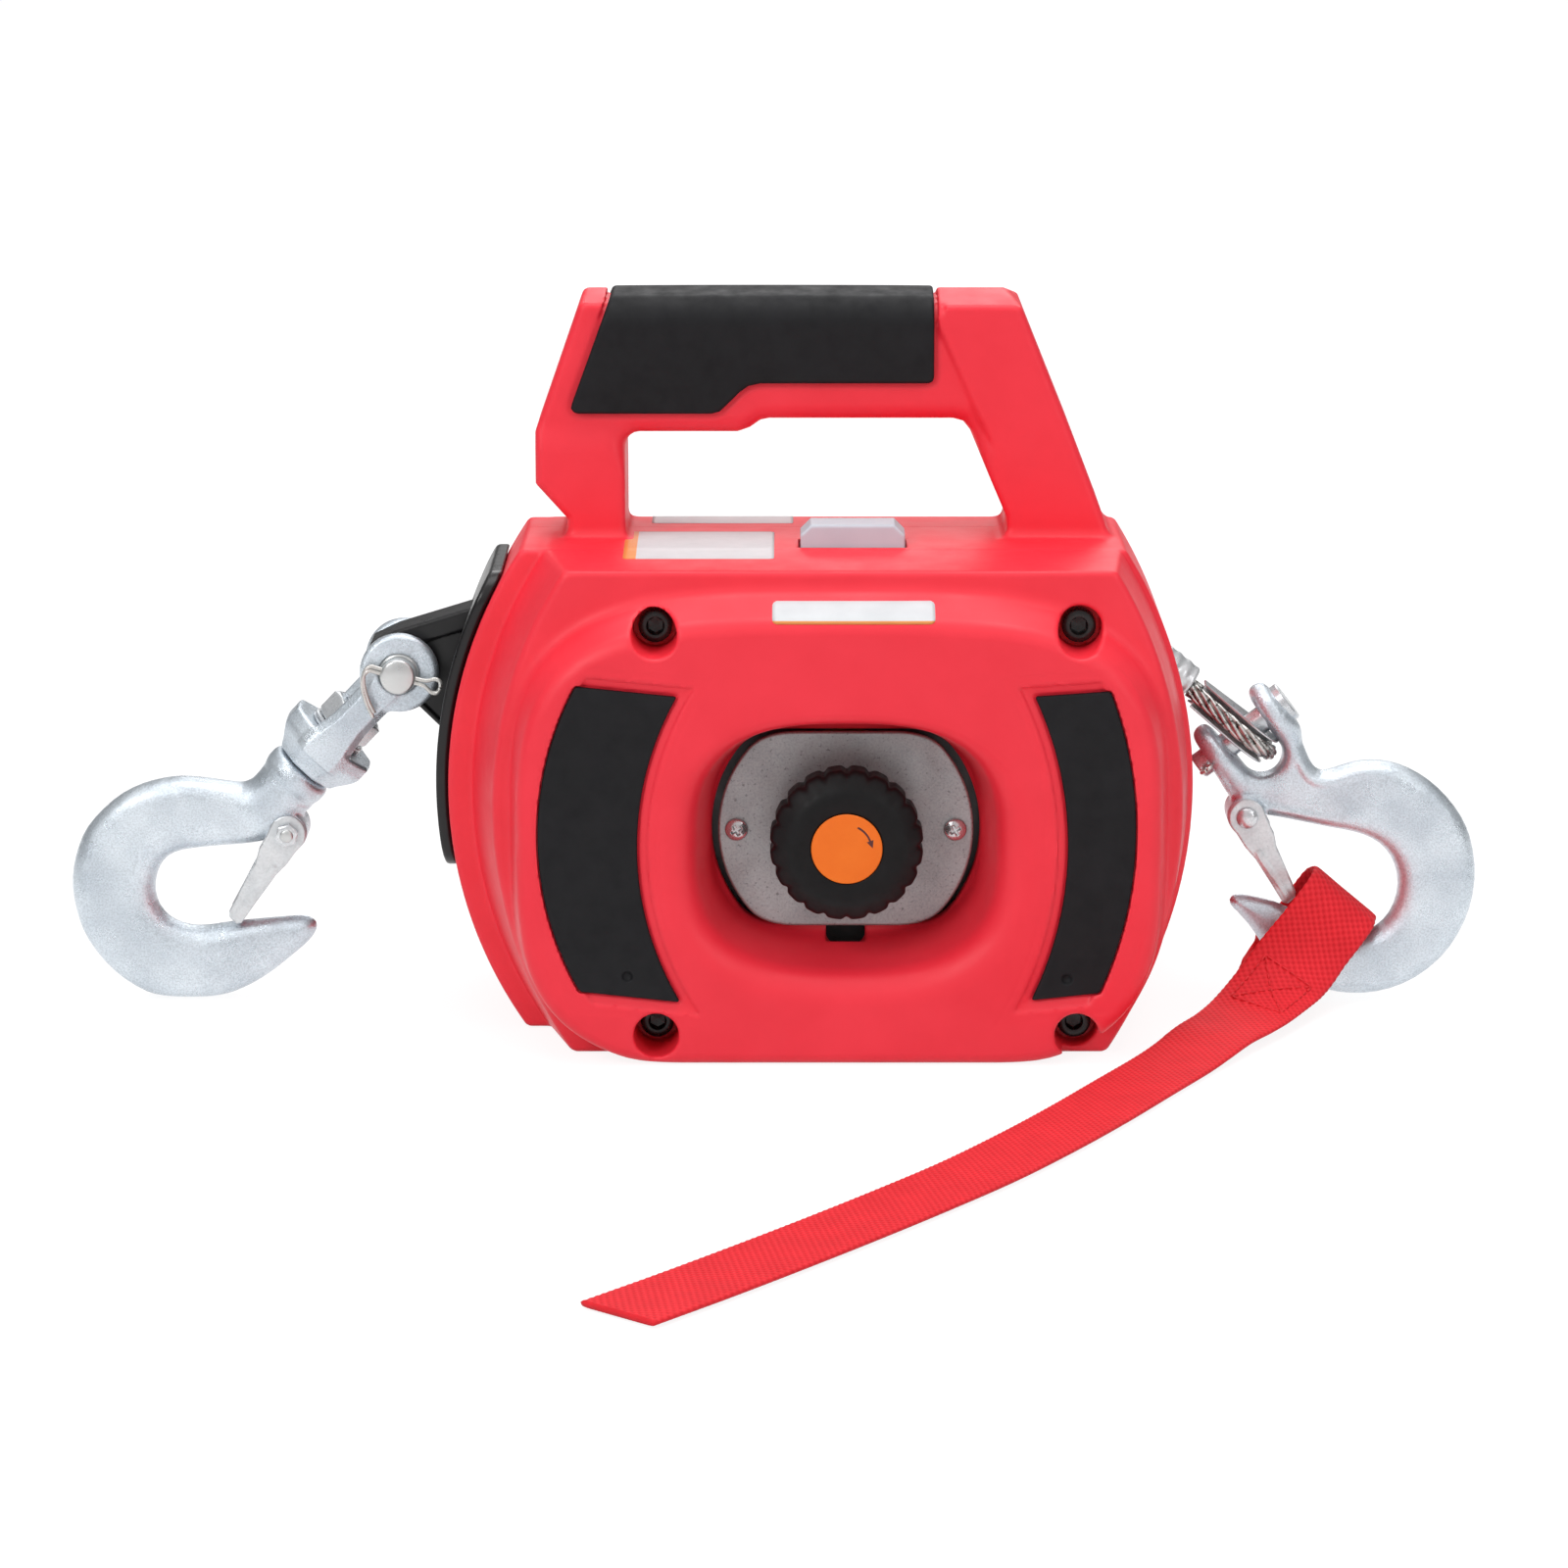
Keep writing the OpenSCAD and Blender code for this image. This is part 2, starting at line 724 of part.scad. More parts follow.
module case_nuts() {
    color("#1c1c1e") for (x = screw_x, z = screw_z) difference() {
        hex_y([x, z], nut_af_case, screw_pocket_y, screw_pocket_y + nut_t);
        rod_y([x, z], screw_r + run_gap, screw_pocket_y - over, screw_pocket_y + nut_t + over);
    }
}

module input_bezel() {
    color("#29272a") difference() {
        union() {
            rod_y([input_x, input_z], bezel_r, bezel_back_y, bulge_depth + bezel_flange_t);
            rod_y([input_x, input_z], bezel_flange_r, bulge_depth + press_gap, bulge_depth + bezel_flange_t);
        }
        rod_y([input_x, input_z], input_socket_r + face_gap, bezel_back_y - over, bulge_depth + 2 * over);
    }
}

// ================= Frame =================

module frame_plate_blank() {
    difference() {
        along_y(frame_y, frame_out_y) polygon(frame_outline);
        for (p = spacer_pos) rod_y(p, bolt_r + run_gap, frame_y - over, frame_out_y + over);
        for (p = lug_bolt_pos) rod_y(p, lug_bolt_r + run_gap, frame_y - over, frame_out_y + over);
    }
}

module front_frame_plate() {
    color("#5d6064") front() difference() {
        frame_plate_blank();
        rod_y([0, axis_z], hub_r + bush_wall, frame_y - over, frame_out_y + over);
    }
}

module rear_frame_plate() {
    color("#5d6064") difference() {
        frame_plate_blank();
        rod_y([0, axis_z], hub_r + bush_wall, frame_y - over, frame_out_y + over);
        rod_y([mid_x, mid_z], mid_shaft_r + run_gap, frame_y - over, frame_out_y + over);
        for (p = gear_post_pos) rod_y(p, bolt_r + run_gap, frame_y - over, frame_out_y + over);
    }
}

// Spacer tubes with their bolts and bolt heads, tying the frame plates.
module frame_spacers() {
    color("#8d9094") for (p = spacer_pos) {
        rod_y(p, spacer_r, -frame_y, frame_y);
        rod_y(p, bolt_r, -frame_out_y, frame_out_y);
        for (s = [0, 1]) mirror([0, s, 0]) rod_y(p, bolt_head_r, frame_out_y, frame_out_y + bolt_head_h);
    }
}

module gear_plate() {
    color("#5d6064") difference() {
        along_y(gear_plate_y, gear_plate_out_y) polygon(gear_plate_outline);
        rod_y([0, axis_z], shaft_r + bush_wall, gear_plate_y - over, gear_plate_out_y + over);
        rod_y([mid_x, mid_z], mid_shaft_r + bush_wall, gear_plate_y - over, gear_plate_out_y + over);
        rod_y([input_x, input_z], input_shaft_r + bush_wall, gear_plate_y - over, gear_plate_out_y + over);
        for (p = gear_post_pos) rod_y(p, bolt_r + run_gap, gear_plate_y - over, gear_plate_out_y + over);
    }
}

module gear_plate_spacers() {
    color("#8d9094") for (p = gear_post_pos) {
        rod_y(p, gear_post_r, frame_out_y, gear_plate_y);
        rod_y(p, bolt_r, frame_y, gear_plate_out_y);
        rod_y(p, bolt_head_r, gear_plate_out_y, gear_plate_out_y + bolt_head_h);
        rod_y(p, bolt_head_r, frame_y - bolt_head_h, frame_y);
    }
}

module hub_bush() {
    tube_y([0, axis_z], hub_r + bush_wall - press_gap, hub_r + run_gap, frame_y - 1, frame_out_y + 0.5);
}

module front_hub_bush() {
    color("#b08d4a") front() hub_bush();
}

module rear_hub_bush() {
    color("#b08d4a") hub_bush();
}

module gear_plate_bushes() {
    shafts = [[0, axis_z, shaft_r], [mid_x, mid_z, mid_shaft_r], [input_x, input_z, input_shaft_r]];
    color("#b08d4a") for (b = shafts)
        tube_y([b[0], b[1]], b[2] + bush_wall - press_gap, b[2] + run_gap,
            gear_plate_y - 0.5, gear_plate_out_y + 0.5);
}

module fairlead() {
    color("#9a9ca0") difference() {
        translate([fairlead_x[0], press_gap - frame_y, fairlead_z[0]])
            cube([fairlead_x[1] - fairlead_x[0], 2 * (frame_y - press_gap), fairlead_z[1] - fairlead_z[0]]);
        translate([fairlead_x[0] - over, -fairlead_slot[0] / 2, fairlead_slot_z - fairlead_slot[1] / 2])
            cube([fairlead_x[1] - fairlead_x[0] + 2 * over, fairlead_slot[0], fairlead_slot[1]]);
    }
}

// ================= Anchor bracket =================

module anchor_band() {
    color("#1f1e20") difference() {
        along_y(-band_half_w, band_half_w) polygon(concat(
            bowed_side(-case_left - band_gap - band_t, case_bow_left, 1, band_z[0], band_z[1], 14),
            bowed_side(-case_left - band_gap, case_bow_left, 1, band_z[1], band_z[0], 14)));
        translate([-case_left - 20, -lug_t / 2 - run_gap, lug_blade[4][1] - run_gap])
            cube([40, lug_t + 2 * run_gap, lug_blade[1][1] - lug_blade[4][1] + 2 * run_gap]);
    }
}

module anchor_lug() {
    color("#1f1e20") difference() {
        union() {
            along_y(-lug_t / 2, lug_t / 2) union() {
                polygon(lug_blade);
                translate([pin_x, pin_z]) circle(r = lug_tip_r);
            }
            translate([lug_root[0], -frame_y + run_gap, lug_z[0] + run_gap])
                cube([lug_root[1] - lug_root[0], 2 * (frame_y - run_gap), lug_z[1] - lug_z[0] - 2 * run_gap]);
        }
        rod_y([pin_x, pin_z], anchor_pin_d / 2, -lug_t, lug_t);
        for (p = lug_bolt_pos) rod_y(p, lug_bolt_r + run_gap, -frame_out_y, frame_out_y);
    }
}

module lug_bolts() {
    color("#8d9094") for (p = lug_bolt_pos) {
        rod_y(p, lug_bolt_r, -frame_out_y - bolt_head_h, frame_out_y + bolt_head_h);
        for (s = [0, 1]) mirror([0, s, 0])
            rod_y(p, lug_bolt_r + 2, frame_out_y, frame_out_y + bolt_head_h);
    }
}

// ================= Bit store =================

// Opening for the cap in the top of the front half, for Y above 0.
module bit_cap_cut() {
    translate([cap_x[0] - face_gap, cap_depth[0] - face_gap, case_top - 2 * wall])
        cube([cap_x[1] - cap_x[0] + 2 * face_gap, cap_depth[1] - cap_depth[0] + 2 * face_gap, 3 * wall]);
}

// Cap with sloped ends over the bit's holder.
module bit_cap() {
    color("#c3c4cb") difference() {
        union() {
            along_y(-cap_depth[1], -cap_depth[0]) polygon([
                [cap_x[0], case_top - wall], [cap_x[0], cap_top_z - cap_chamfer],
                [cap_x[0] + cap_chamfer, cap_top_z], [cap_x[1] - cap_chamfer, cap_top_z],
                [cap_x[1], cap_top_z - cap_chamfer], [cap_x[1], case_top - wall]
            ]);
            translate([bit_at[0], bit_at[1], bit_boss_z]) cylinder(r = bit_boss_r, h = case_top - bit_boss_z);
        }
        translate([bit_at[0], bit_at[1], bit_boss_z - over])
            cylinder(r = (drive_af / 2 + run_gap) / cos(30), h = case_top - bit_boss_z, $fn = 6);
    }
}

module drive_bit() {
    color("#77797d") translate([bit_at[0], bit_at[1], bit_shank_z]) {
        cylinder(r = bit_tip_af / 2 / cos(30), h = bit_boss_z - bit_shank_z, $fn = 6);
        translate([0, 0, bit_tip_len])
            cylinder(r = drive_af / 2 / cos(30), h = case_top - over - bit_shank_z - bit_tip_len, $fn = 6);
    }
}

// ================= Drum =================

module drum() {
    color("#6c6f73") difference() {
        union() {
            rod_y([0, axis_z], barrel_d / 2, -drum_w / 2, drum_w / 2);
            for (s = [0, 1]) mirror([0, s, 0]) {
                rod_y([0, axis_z], flange_d / 2, drum_w / 2, flange_out_y);
                rod_y([0, axis_z], hub_r, flange_out_y - 0.5, s > 0 ? hub_front_y : frame_out_y + 1);
            }
        }
        rod_y([0, axis_z], shaft_r + drum_bush_wall, -hub_front_y - over, frame_out_y + 2);
        for (a = [45:90:315]) rod_y([dog_pin_ring * cos(a), axis_z + dog_pin_ring * sin(a)],
            dog_pin_r + dog_pin_gap, -hub_front_y - over, -hub_front_y + dog_pin_len + 0.5);
    }
}

module drum_bushes() {
    color("#b08d4a") for (s = [0, 1]) mirror([0, s, 0])
        tube_y([0, axis_z], shaft_r + drum_bush_wall - press_gap, shaft_r + run_gap,
            drum_bush_start, frame_out_y);
}

// Main shaft: round in the drum, hexagonal where the dog slides on it.
module main_shaft() {
    color("#a5a8ac") {
        rod_y([0, axis_z], shaft_r, -hub_front_y + 2, gear_plate_out_y + 1);
        hex_y([0, axis_z], hex_af, -hex_end_y, -hub_front_y + 3);
    }
}

module drum_gear() {
    color("#7d8084") difference() {
        along_y(drum_gear_y[0], drum_gear_y[1]) translate([0, axis_z])
            polygon(gear_outline(drum_teeth, drum_module, 0));
        rod_y([0, axis_z], shaft_r, drum_gear_y[0] - over, drum_gear_y[1] + over);
        for (a = [30:60:330])
            rod_y([drum_gear_holes[0] * cos(a), axis_z + drum_gear_holes[0] * sin(a)], drum_gear_holes[1],
                drum_gear_y[0] - over, drum_gear_y[1] + over);
    }
}

// Rope wound on the drum, as one solid of its outer shape.
module wound_rope() {
    color("#8b8e92")
        tube_y([0, axis_z], wound_r, barrel_d / 2 + run_gap, -drum_w / 2 + face_gap, drum_w / 2 - face_gap);
}

// ================= Clutch =================

module clutch_dog() {
    color("#85888c") front() difference() {
        union() {
            rod_y([0, axis_z], dog_r, dog_y, dog_y + dog_t);
            rod_y([0, axis_z], cup_r, dog_y, cup_front_y);
            for (a = [45:90:315]) rod_y([dog_pin_ring * cos(a), axis_z + dog_pin_ring * sin(a)],
                dog_pin_r, dog_y - dog_pin_len, dog_y + dog_t / 2);
        }
        rod_y([0, axis_z], cup_bore_r, dog_y + dog_t, cup_front_y - cup_lip);
        rod_y([0, axis_z], stem_r + 1, dog_y + dog_t, cup_front_y + over);
        hex_y([0, axis_z], hex_af + dog_gap, dog_y - over, dog_y + dog_t + over);
    }
}

// Spring that pushes the dog into the drum, as its outer sleeve.
module clutch_spring() {
    color("#9a9ca0") front()
        tube_y([0, axis_z], cup_r + spring_gap + spring_wall, cup_r + spring_gap,
            dog_y + dog_t + dog_gap, recess_floor_y - wall - dog_gap);
}

module clutch_stem() {
    color("#a5a8ac") front() {
        rod_y([0, axis_z], stem_flange_r, stem_flange_y - stem_flange_t, stem_flange_y);
        rod_y([0, axis_z], stem_r, stem_flange_y - 0.6, stem_head_y + 1);
        rod_y([0, axis_z], stem_head_r, stem_head_y, stem_head_y + stem_head_t);
    }
}

module clutch_knob() {
    color("#262528") front() difference() {
        union() {
            rod_y([0, axis_z], knob_neck_r, knob_back_y, knob_skirt_y + 2);
            difference() {
                rod_y([0, axis_z], knob_d / 2, knob_skirt_y, knob_front_y - 3);
                for (i = [0:scallops - 1]) let (a = 360 * i / scallops)
                    rod_y([scallop_ring * cos(a), axis_z + scallop_ring * sin(a)], scallop_r,
                        knob_skirt_y - over, knob_front_y);
            }
            rod_y([0, axis_z], knob_d / 2 - 4, knob_front_y - 4, knob_front_y);
        }
        rod_y([0, axis_z], stem_r + run_gap, knob_back_y - over, knob_front_y);
        rod_y([0, axis_z], stem_head_r + dog_gap, stem_head_y - disc_gap, knob_front_y + over);
        rod_y([0, axis_z], disc_r + disc_gap, knob_front_y - disc_t, knob_front_y + over);
    }
}

module knob_disc() {
    color("#f08a24") front() rod_y([0, axis_z], disc_r, knob_front_y - disc_t + 0.02, knob_front_y);
}

// ================= Gear train =================

// Shaft with its pinion cut in one piece, meshing with the drum gear.
module intermediate_shaft() {
    color("#a5a8ac") {
        rod_y([mid_x, mid_z], mid_shaft_r, frame_y, gear_plate_out_y + 0.5);
        along_y(drum_gear_y[0] - 0.5, drum_gear_y[1] + 0.5) translate([mid_x, mid_z])
            polygon(gear_outline(pinion_teeth, drum_module, mid_angle + 180 - 180 / pinion_teeth));
    }
}

module intermediate_gear() {
    color("#7d8084") difference() {
        along_y(mid_gear_y[0], mid_gear_y[1]) translate([mid_x, mid_z])
            polygon(gear_outline(mid_teeth, input_module, input_angle));
        rod_y([mid_x, mid_z], mid_shaft_r, mid_gear_y[0] - over, mid_gear_y[1] + over);
        for (a = [0:60:300])
            rod_y([mid_x + mid_gear_holes[0] * cos(a), mid_z + mid_gear_holes[0] * sin(a)], mid_gear_holes[1],
                mid_gear_y[0] - over, mid_gear_y[1] + over);
    }
}

// Drive shaft with its pinion, and a hexagonal socket for the drill's bit.
module input_shaft() {
    color("#a5a8ac") difference() {
        union() {
            along_y(mid_gear_y[0] - 0.5, mid_gear_y[1] + 0.5) translate([input_x, input_z])
                polygon(gear_outline(pinion_teeth, input_module, input_angle + 180 - 180 / pinion_teeth));
            rod_y([input_x, input_z], input_core_r, mid_gear_y[0] - 0.5, gear_plate_y);
            rod_y([input_x, input_z], input_shaft_r, gear_plate_y - 0.5, gear_plate_out_y + over);
            rod_y([input_x, input_z], input_socket_r, gear_plate_out_y + 0.7, input_socket_end_y);
        }
        hex_y([input_x, input_z], drive_af + 0.1, input_socket_end_y - input_socket_depth, bulge_depth);
    }
}

// ================= Anchor hook chain =================

module anchor_yoke() {
    color("#b4b7bb") difference() {
        at_anchor() {
            for (s = [0, 1]) mirror([0, s, 0]) {
                rod_y([0, 0], ear_r, ear_in, ear_out);
                along_y(ear_in, ear_out) polygon(yoke_arm);
            }
            rod_x(ear_out, boss_s[0], boss_cone);
            translate([boss_cone, 0, 0]) rotate([0, 90, 0])
                cylinder(r1 = ear_out, r2 = collar_r, h = boss_s[1] - boss_cone);
        }
        at_anchor() {
            rod_x(stud_d / 2, boss_s[0] - over, boss_s[1] + over);
            rod_y([0, 0], anchor_pin_d / 2, -ear_out - over, ear_out + over);
        }
    }
}

module anchor_pin() {
    color("#b9bbc0") at_anchor() difference() {
        union() {
            rod_y([0, 0], anchor_pin_r, -ear_out - 5, ear_out + 0.5);
            rod_y([0, 0], anchor_pin_r + anchor_head[0],
                ear_out + pin_gap, ear_out + pin_gap + anchor_head[1]);
        }
        anchor_cotter_place() rod_x(cotter_r + run_gap, -ear_r, ear_r);
    }
}

module anchor_cotter_place() {
    translate([0, -ear_out - 2.5, 0]) rotate([0, 62, 0]) children();
}

// Straight leg of a cotter pin from x0 to x1, with its eye at x0.
module cotter(r, x0, x1) {
    rod_x(r, x0, x1);
    translate([x0 - 2 * r, 0, 0]) rotate([90, 0, 0]) rotate_extrude() translate([2 * r, 0]) circle(r = r);
}

// Cotter pin through the front end of the lug pin.
module anchor_cotter() {
    color("#a9a6a0") at_anchor() anchor_cotter_place() cotter(cotter_r, -anchor_pin_r - 1, anchor_pin_r + 6);
}

module swivel_washers() {
    color("#b9bbc0") at_anchor() difference() {
        rod_x(washer_r, boss_s[0] - 2 * washer_t - washer_gap, boss_s[0] - washer_gap);
        rod_x(stud_d / 2, 0, boss_s[1]);
    }
}

module swivel_nut() {
    color("#b9bbc0") at_anchor() difference() {
        translate([nut_s[0], 0, 0]) rotate([0, 90, 0])
            cylinder(r = nut_af / 2 / cos(30), h = nut_s[1] - nut_s[0], $fn = 6);
        rod_x(stud_r, 0, boss_s[1]);
    }
}

// Bore for a latch's bolt, with a pocket for its spring.
module latch_bore(pivot, hook_t) {
    rod_y(pivot, latch_bolt_r + run_gap, -hook_t, hook_t);
    rod_y(pivot, spring_r + face_gap, -hook_t, latch_pocket - hook_t / 2);
}

// Outline of the anchor hook in the frame of the load line.
function anchor_hook_outline() = concat(
    [[collar_s[1] - 3, -8.5], [57, -9.5]],
    arc(anchor_bowl, bowl_r, -129, 76, 30),
    arc(anchor_tip, tip_r, 76, 246, 8),
    arc(anchor_eye, anchor_eye_r, 50, -125, 20),
    [[68, 2.6], [63.5, 6.5], [60, 8.5], [collar_s[1] - 3, 8.5]]);

module anchor_hook() {
    color("#b4b7bb") at_anchor() difference() {
        union() {
            along_y(-anchor_hook_t / 2, anchor_hook_t / 2) union() {
                polygon(anchor_hook_outline());
                translate(anchor_latch_at) circle(r = latch_boss_r);
            }
            rod_x(collar_r, collar_s[0], collar_s[1]);
            rod_x(stud_r, stud_end, collar_s[1]);
        }
        latch_bore(anchor_latch_at, anchor_hook_t);
    }
}

// Latch: two round cheeks on the pivot, joined by a tongue that closes the hook.
module latch_at(pivot, angle, len, in_y, end_half) {
    translate([pivot[0], 0, pivot[1]]) rotate([0, -angle, 0]) {
        difference() {
            for (s = [0, 1]) mirror([0, s, 0]) {
                rod_y([0, 0], latch_cheek_r, in_y, in_y + latch_t);
                along_y(in_y, in_y + latch_t)
                    polygon([[0, -latch_cheek_r * 0.8], [14, -2.2], [14, 2.2], [0, latch_cheek_r * 0.8]]);
            }
            rod_y([0, 0], latch_bolt_r + run_gap, -in_y - 5, in_y + 5);
        }
        translate([10, -in_y - latch_t / 2, -latch_t / 2]) cube([4, 2 * in_y + latch_t, latch_t]);
        translate([13, -end_half, -latch_t / 2]) cube([len - 13, 2 * end_half, latch_t]);
    }
}

module anchor_latch() {
    color("#b9bbc0") at_anchor() latch_at(anchor_latch_at, 10, 32, anchor_hook_t / 2 + latch_gap, 5);
}

// Bolt through the hook and the latch, with its nut.
module anchor_latch_bolt() {
    color("#a5a8ac") at_anchor() {
        rod_y(anchor_latch_at, latch_bolt_r, -anchor_hook_t / 2 - 5, anchor_hook_t / 2 + 3);
        cheek_y = anchor_hook_t / 2 + latch_out;
        hex_y(anchor_latch_at, latch_nut_af, -cheek_y - 2.5, -cheek_y);
        rod_y(anchor_latch_at, latch_head_r, cheek_y, cheek_y + 1.8);
    }
}

// Torsion spring of a latch, as the sleeve of its coils on the bolt.
module latch_spring(pivot, hook_t) {
    tube_y(pivot, spring_r, latch_bolt_r + run_gap,
        face_gap - hook_t / 2, latch_pocket - hook_t / 2 - press_gap);
}

module anchor_latch_spring() {
    color("#9b9ea2") at_anchor() latch_spring(anchor_latch_at, anchor_hook_t);
}

// ================= Rope end =================

module rope_run() {
    color("#8b8e92") translate([run_start[0], 0, run_start[1]]) rotate([0, 90 - run_slope, 0])
        cylinder(r = rope_d / 2, h = run_len);
}

// U-shaped channel that the rope's eye lies in.
module thimble_section() {
    difference() {
        translate([thimble_r, -thimble_half_w]) square([thimble_flange_r - thimble_r, 2 * thimble_half_w]);
        translate([groove_r, -groove_half_w]) square([thimble_flange_r, 2 * groove_half_w]);
    }
}

// Sweeps a section round the crown of the eye.
module eye_crown() {
    rotate([0, 0, -90 - thimble_taper]) rotate_extrude(angle = 180 + 2 * thimble_taper, $fn = 96) children();
}

// Runs a section down both legs of the eye.
module eye_legs(leg) {
    for (s = [0, 1]) mirror([0, s, 0]) rotate([90, 0, 90 + thimble_taper]) translate([0, 0, -leg])
        linear_extrude(leg + run_gap) children();
}

module thimble() {
    color("#a9acb0") at_eye() {
        eye_crown() thimble_section();
        eye_legs(thimble_leg) thimble_section();
    }
}

module rope_eye() {
    color("#8b8e92") at_eye() {
        eye_crown() translate([eye_mid_r, 0]) circle(r = rope_d / 2, $fn = 32);
        eye_legs(eye_leg - ferrule_clear) translate([eye_mid_r, 0])
            circle(r = rope_d / 2 - press_gap, $fn = 32);
    }
}

module rope_ferrule() {
    color("#a9acb0") at_eye() rod_x(ferrule_r, -ferrule_start - ferrule_len, -ferrule_start);
}

// Outline of the rope hook in the frame of its clevis: X along the load, Z along the pin.
function rope_hook_outline() = concat(
    [[0, -clevis_out], [10, -15.5], [16.5, -17]],
    [[24, -16.5], [29, -10], [31, -5]],
    arc(rope_eye_at, rope_eye_r, 150, -112, 26),
    arc(rope_tip, tip_r, 128, 262, 8),
    arc(rope_bowl, bowl_r, -76, 131, 30),
    [[24.5, 12], [15, clevis_out], [0, clevis_out]]);

module rope_hook() {
    color("#b4b7bb") at_clevis() difference() {
        union() {
            along_y(-rope_hook_t / 2, rope_hook_t / 2) union() {
                polygon(rope_hook_outline());
                translate(rope_latch_at) circle(r = latch_boss_r);
            }
            for (s = [-1, 1]) translate([0, 0, s > 0 ? clevis_half : -clevis_out])
                cylinder(r = clevis_ear_r, h = clevis_ear_t);
        }
        translate([-clevis_ear_r - over, -2 * clevis_ear_r, -clevis_half])
            cube([clevis_ear_r + over + clevis_throat, 4 * clevis_ear_r, clevis_gap]);
        translate([0, 0, -2 * clevis_out]) cylinder(r = clevis_pin_d / 2, h = 4 * clevis_out);
        latch_bore(rope_latch_at, rope_hook_t);
    }
}

module clevis_pin() {
    color("#b9bbc0") at_clevis() difference() {
        union() {
            translate([0, 0, -clevis_out - 4.5]) cylinder(r = clevis_pin_r, h = 2 * clevis_out + 5);
            translate([0, 0, clevis_out + pin_gap])
                cylinder(r = clevis_pin_r + clevis_head[0], h = clevis_head[1]);
        }
        clevis_cotter_place() rod_x(cotter_r + run_gap, -clevis_ear_r, clevis_ear_r);
    }
}

module clevis_cotter_place() {
    translate([0, 0, -clevis_out - 2.2]) rotate([90, 0, 75]) children();
}

module clevis_cotter() {
    color("#a9a6a0") at_clevis() clevis_cotter_place() cotter(cotter_r, -clevis_pin_r - 1, clevis_pin_r + 6);
}

module rope_latch() {
    color("#b9bbc0") at_clevis() latch_at(rope_latch_at, -8, 29.5, rope_hook_t / 2 + latch_gap, 4.5);
}

module rope_latch_rivet() {
    color("#a5a8ac") at_clevis() {
        cheek_y = rope_hook_t / 2 + latch_out;
        rod_y(rope_latch_at, latch_bolt_r, -cheek_y - 0.8, cheek_y + 0.8);
        for (s = [0, 1]) mirror([0, s, 0])
            rod_y(rope_latch_at, rivet_head_r, cheek_y + pin_gap, cheek_y + 1.5);
    }
}

module rope_latch_spring() {
    color("#9b9ea2") at_clevis() latch_spring(rope_latch_at, rope_hook_t);
}

// ================= Strap =================

function unit(v) = v / norm(v);

function route_at(i) = let (p = strap_route[i]) [p[0], p[1], p[2]];

// Direction of the route at point i.
function route_dir(i) = unit(route_at(min(len(strap_route) - 1, i + 1)) - route_at(max(0, i - 1)));

// Direction across the strap at point i, square to the route.
function strap_side(i) =
    let (t = route_dir(i), k = strap_route[i][3],
         w = k * strap_fold_side + (1 - k) * unit([abs(t[1]), -abs(t[0]), 0]))
    unit(w - (w * t) * t);

// Eight points of the strap's cross-section at point i.
function strap_ring(i) =
    let (w = strap_side(i), n = cross(route_dir(i), w), a = strap_w / 2, b = strap_t / 2, c = strap_bevel)
    [for (q = [[a, b - c], [a - c, b], [c - a, b], [-a, b - c],
               [-a, c - b], [c - a, -b], [a - c, -b], [a, c - b]])
        route_at(i) + q[0] * w + q[1] * n];

module pull_strap() {
    n = len(strap_route);
    color("#d8323c") polyhedron(
        points = [for (i = [0:n - 1], p = strap_ring(i)) p],
        faces = concat(
            [[for (j = [0:7]) j]],
            [[for (j = [7:-1:0]) 8 * (n - 1) + j]],
            [for (i = [0:n - 2], j = [0:7]) let (a = 8 * i + j, b = 8 * i + (j + 1) % 8) [a, a + 8, b]],
            [for (i = [0:n - 2], j = [0:7]) let (a = 8 * i + j, b = 8 * i + (j + 1) % 8) [b, a + 8, b + 8]]));
}

front_housing();
rear_housing();
handle_grip_front();
handle_grip_rear();
front_pad_left();
front_pad_right();
rear_pad_left();
rear_pad_right();
cover_plate();
cover_plate_screws();
case_screws();
case_nuts();
front_frame_plate();
rear_frame_plate();
frame_spacers();
gear_plate();
gear_plate_spacers();
front_hub_bush();
rear_hub_bush();
gear_plate_bushes();
fairlead();
input_bezel();
anchor_band();
anchor_lug();
lug_bolts();
bit_cap();
drive_bit();
drum();
drum_bushes();
main_shaft();
drum_gear();
wound_rope();
clutch_dog();
clutch_spring();
clutch_stem();
clutch_knob();
knob_disc();
intermediate_shaft();
intermediate_gear();
input_shaft();
anchor_yoke();
anchor_pin();
anchor_cotter();
swivel_washers();
anchor_hook();
swivel_nut();
anchor_latch();
anchor_latch_bolt();
anchor_latch_spring();
rope_run();
thimble();
rope_eye();
rope_ferrule();
rope_hook();
clevis_pin();
clevis_cotter();
rope_latch();
rope_latch_rivet();
rope_latch_spring();
pull_strap();
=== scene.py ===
import math

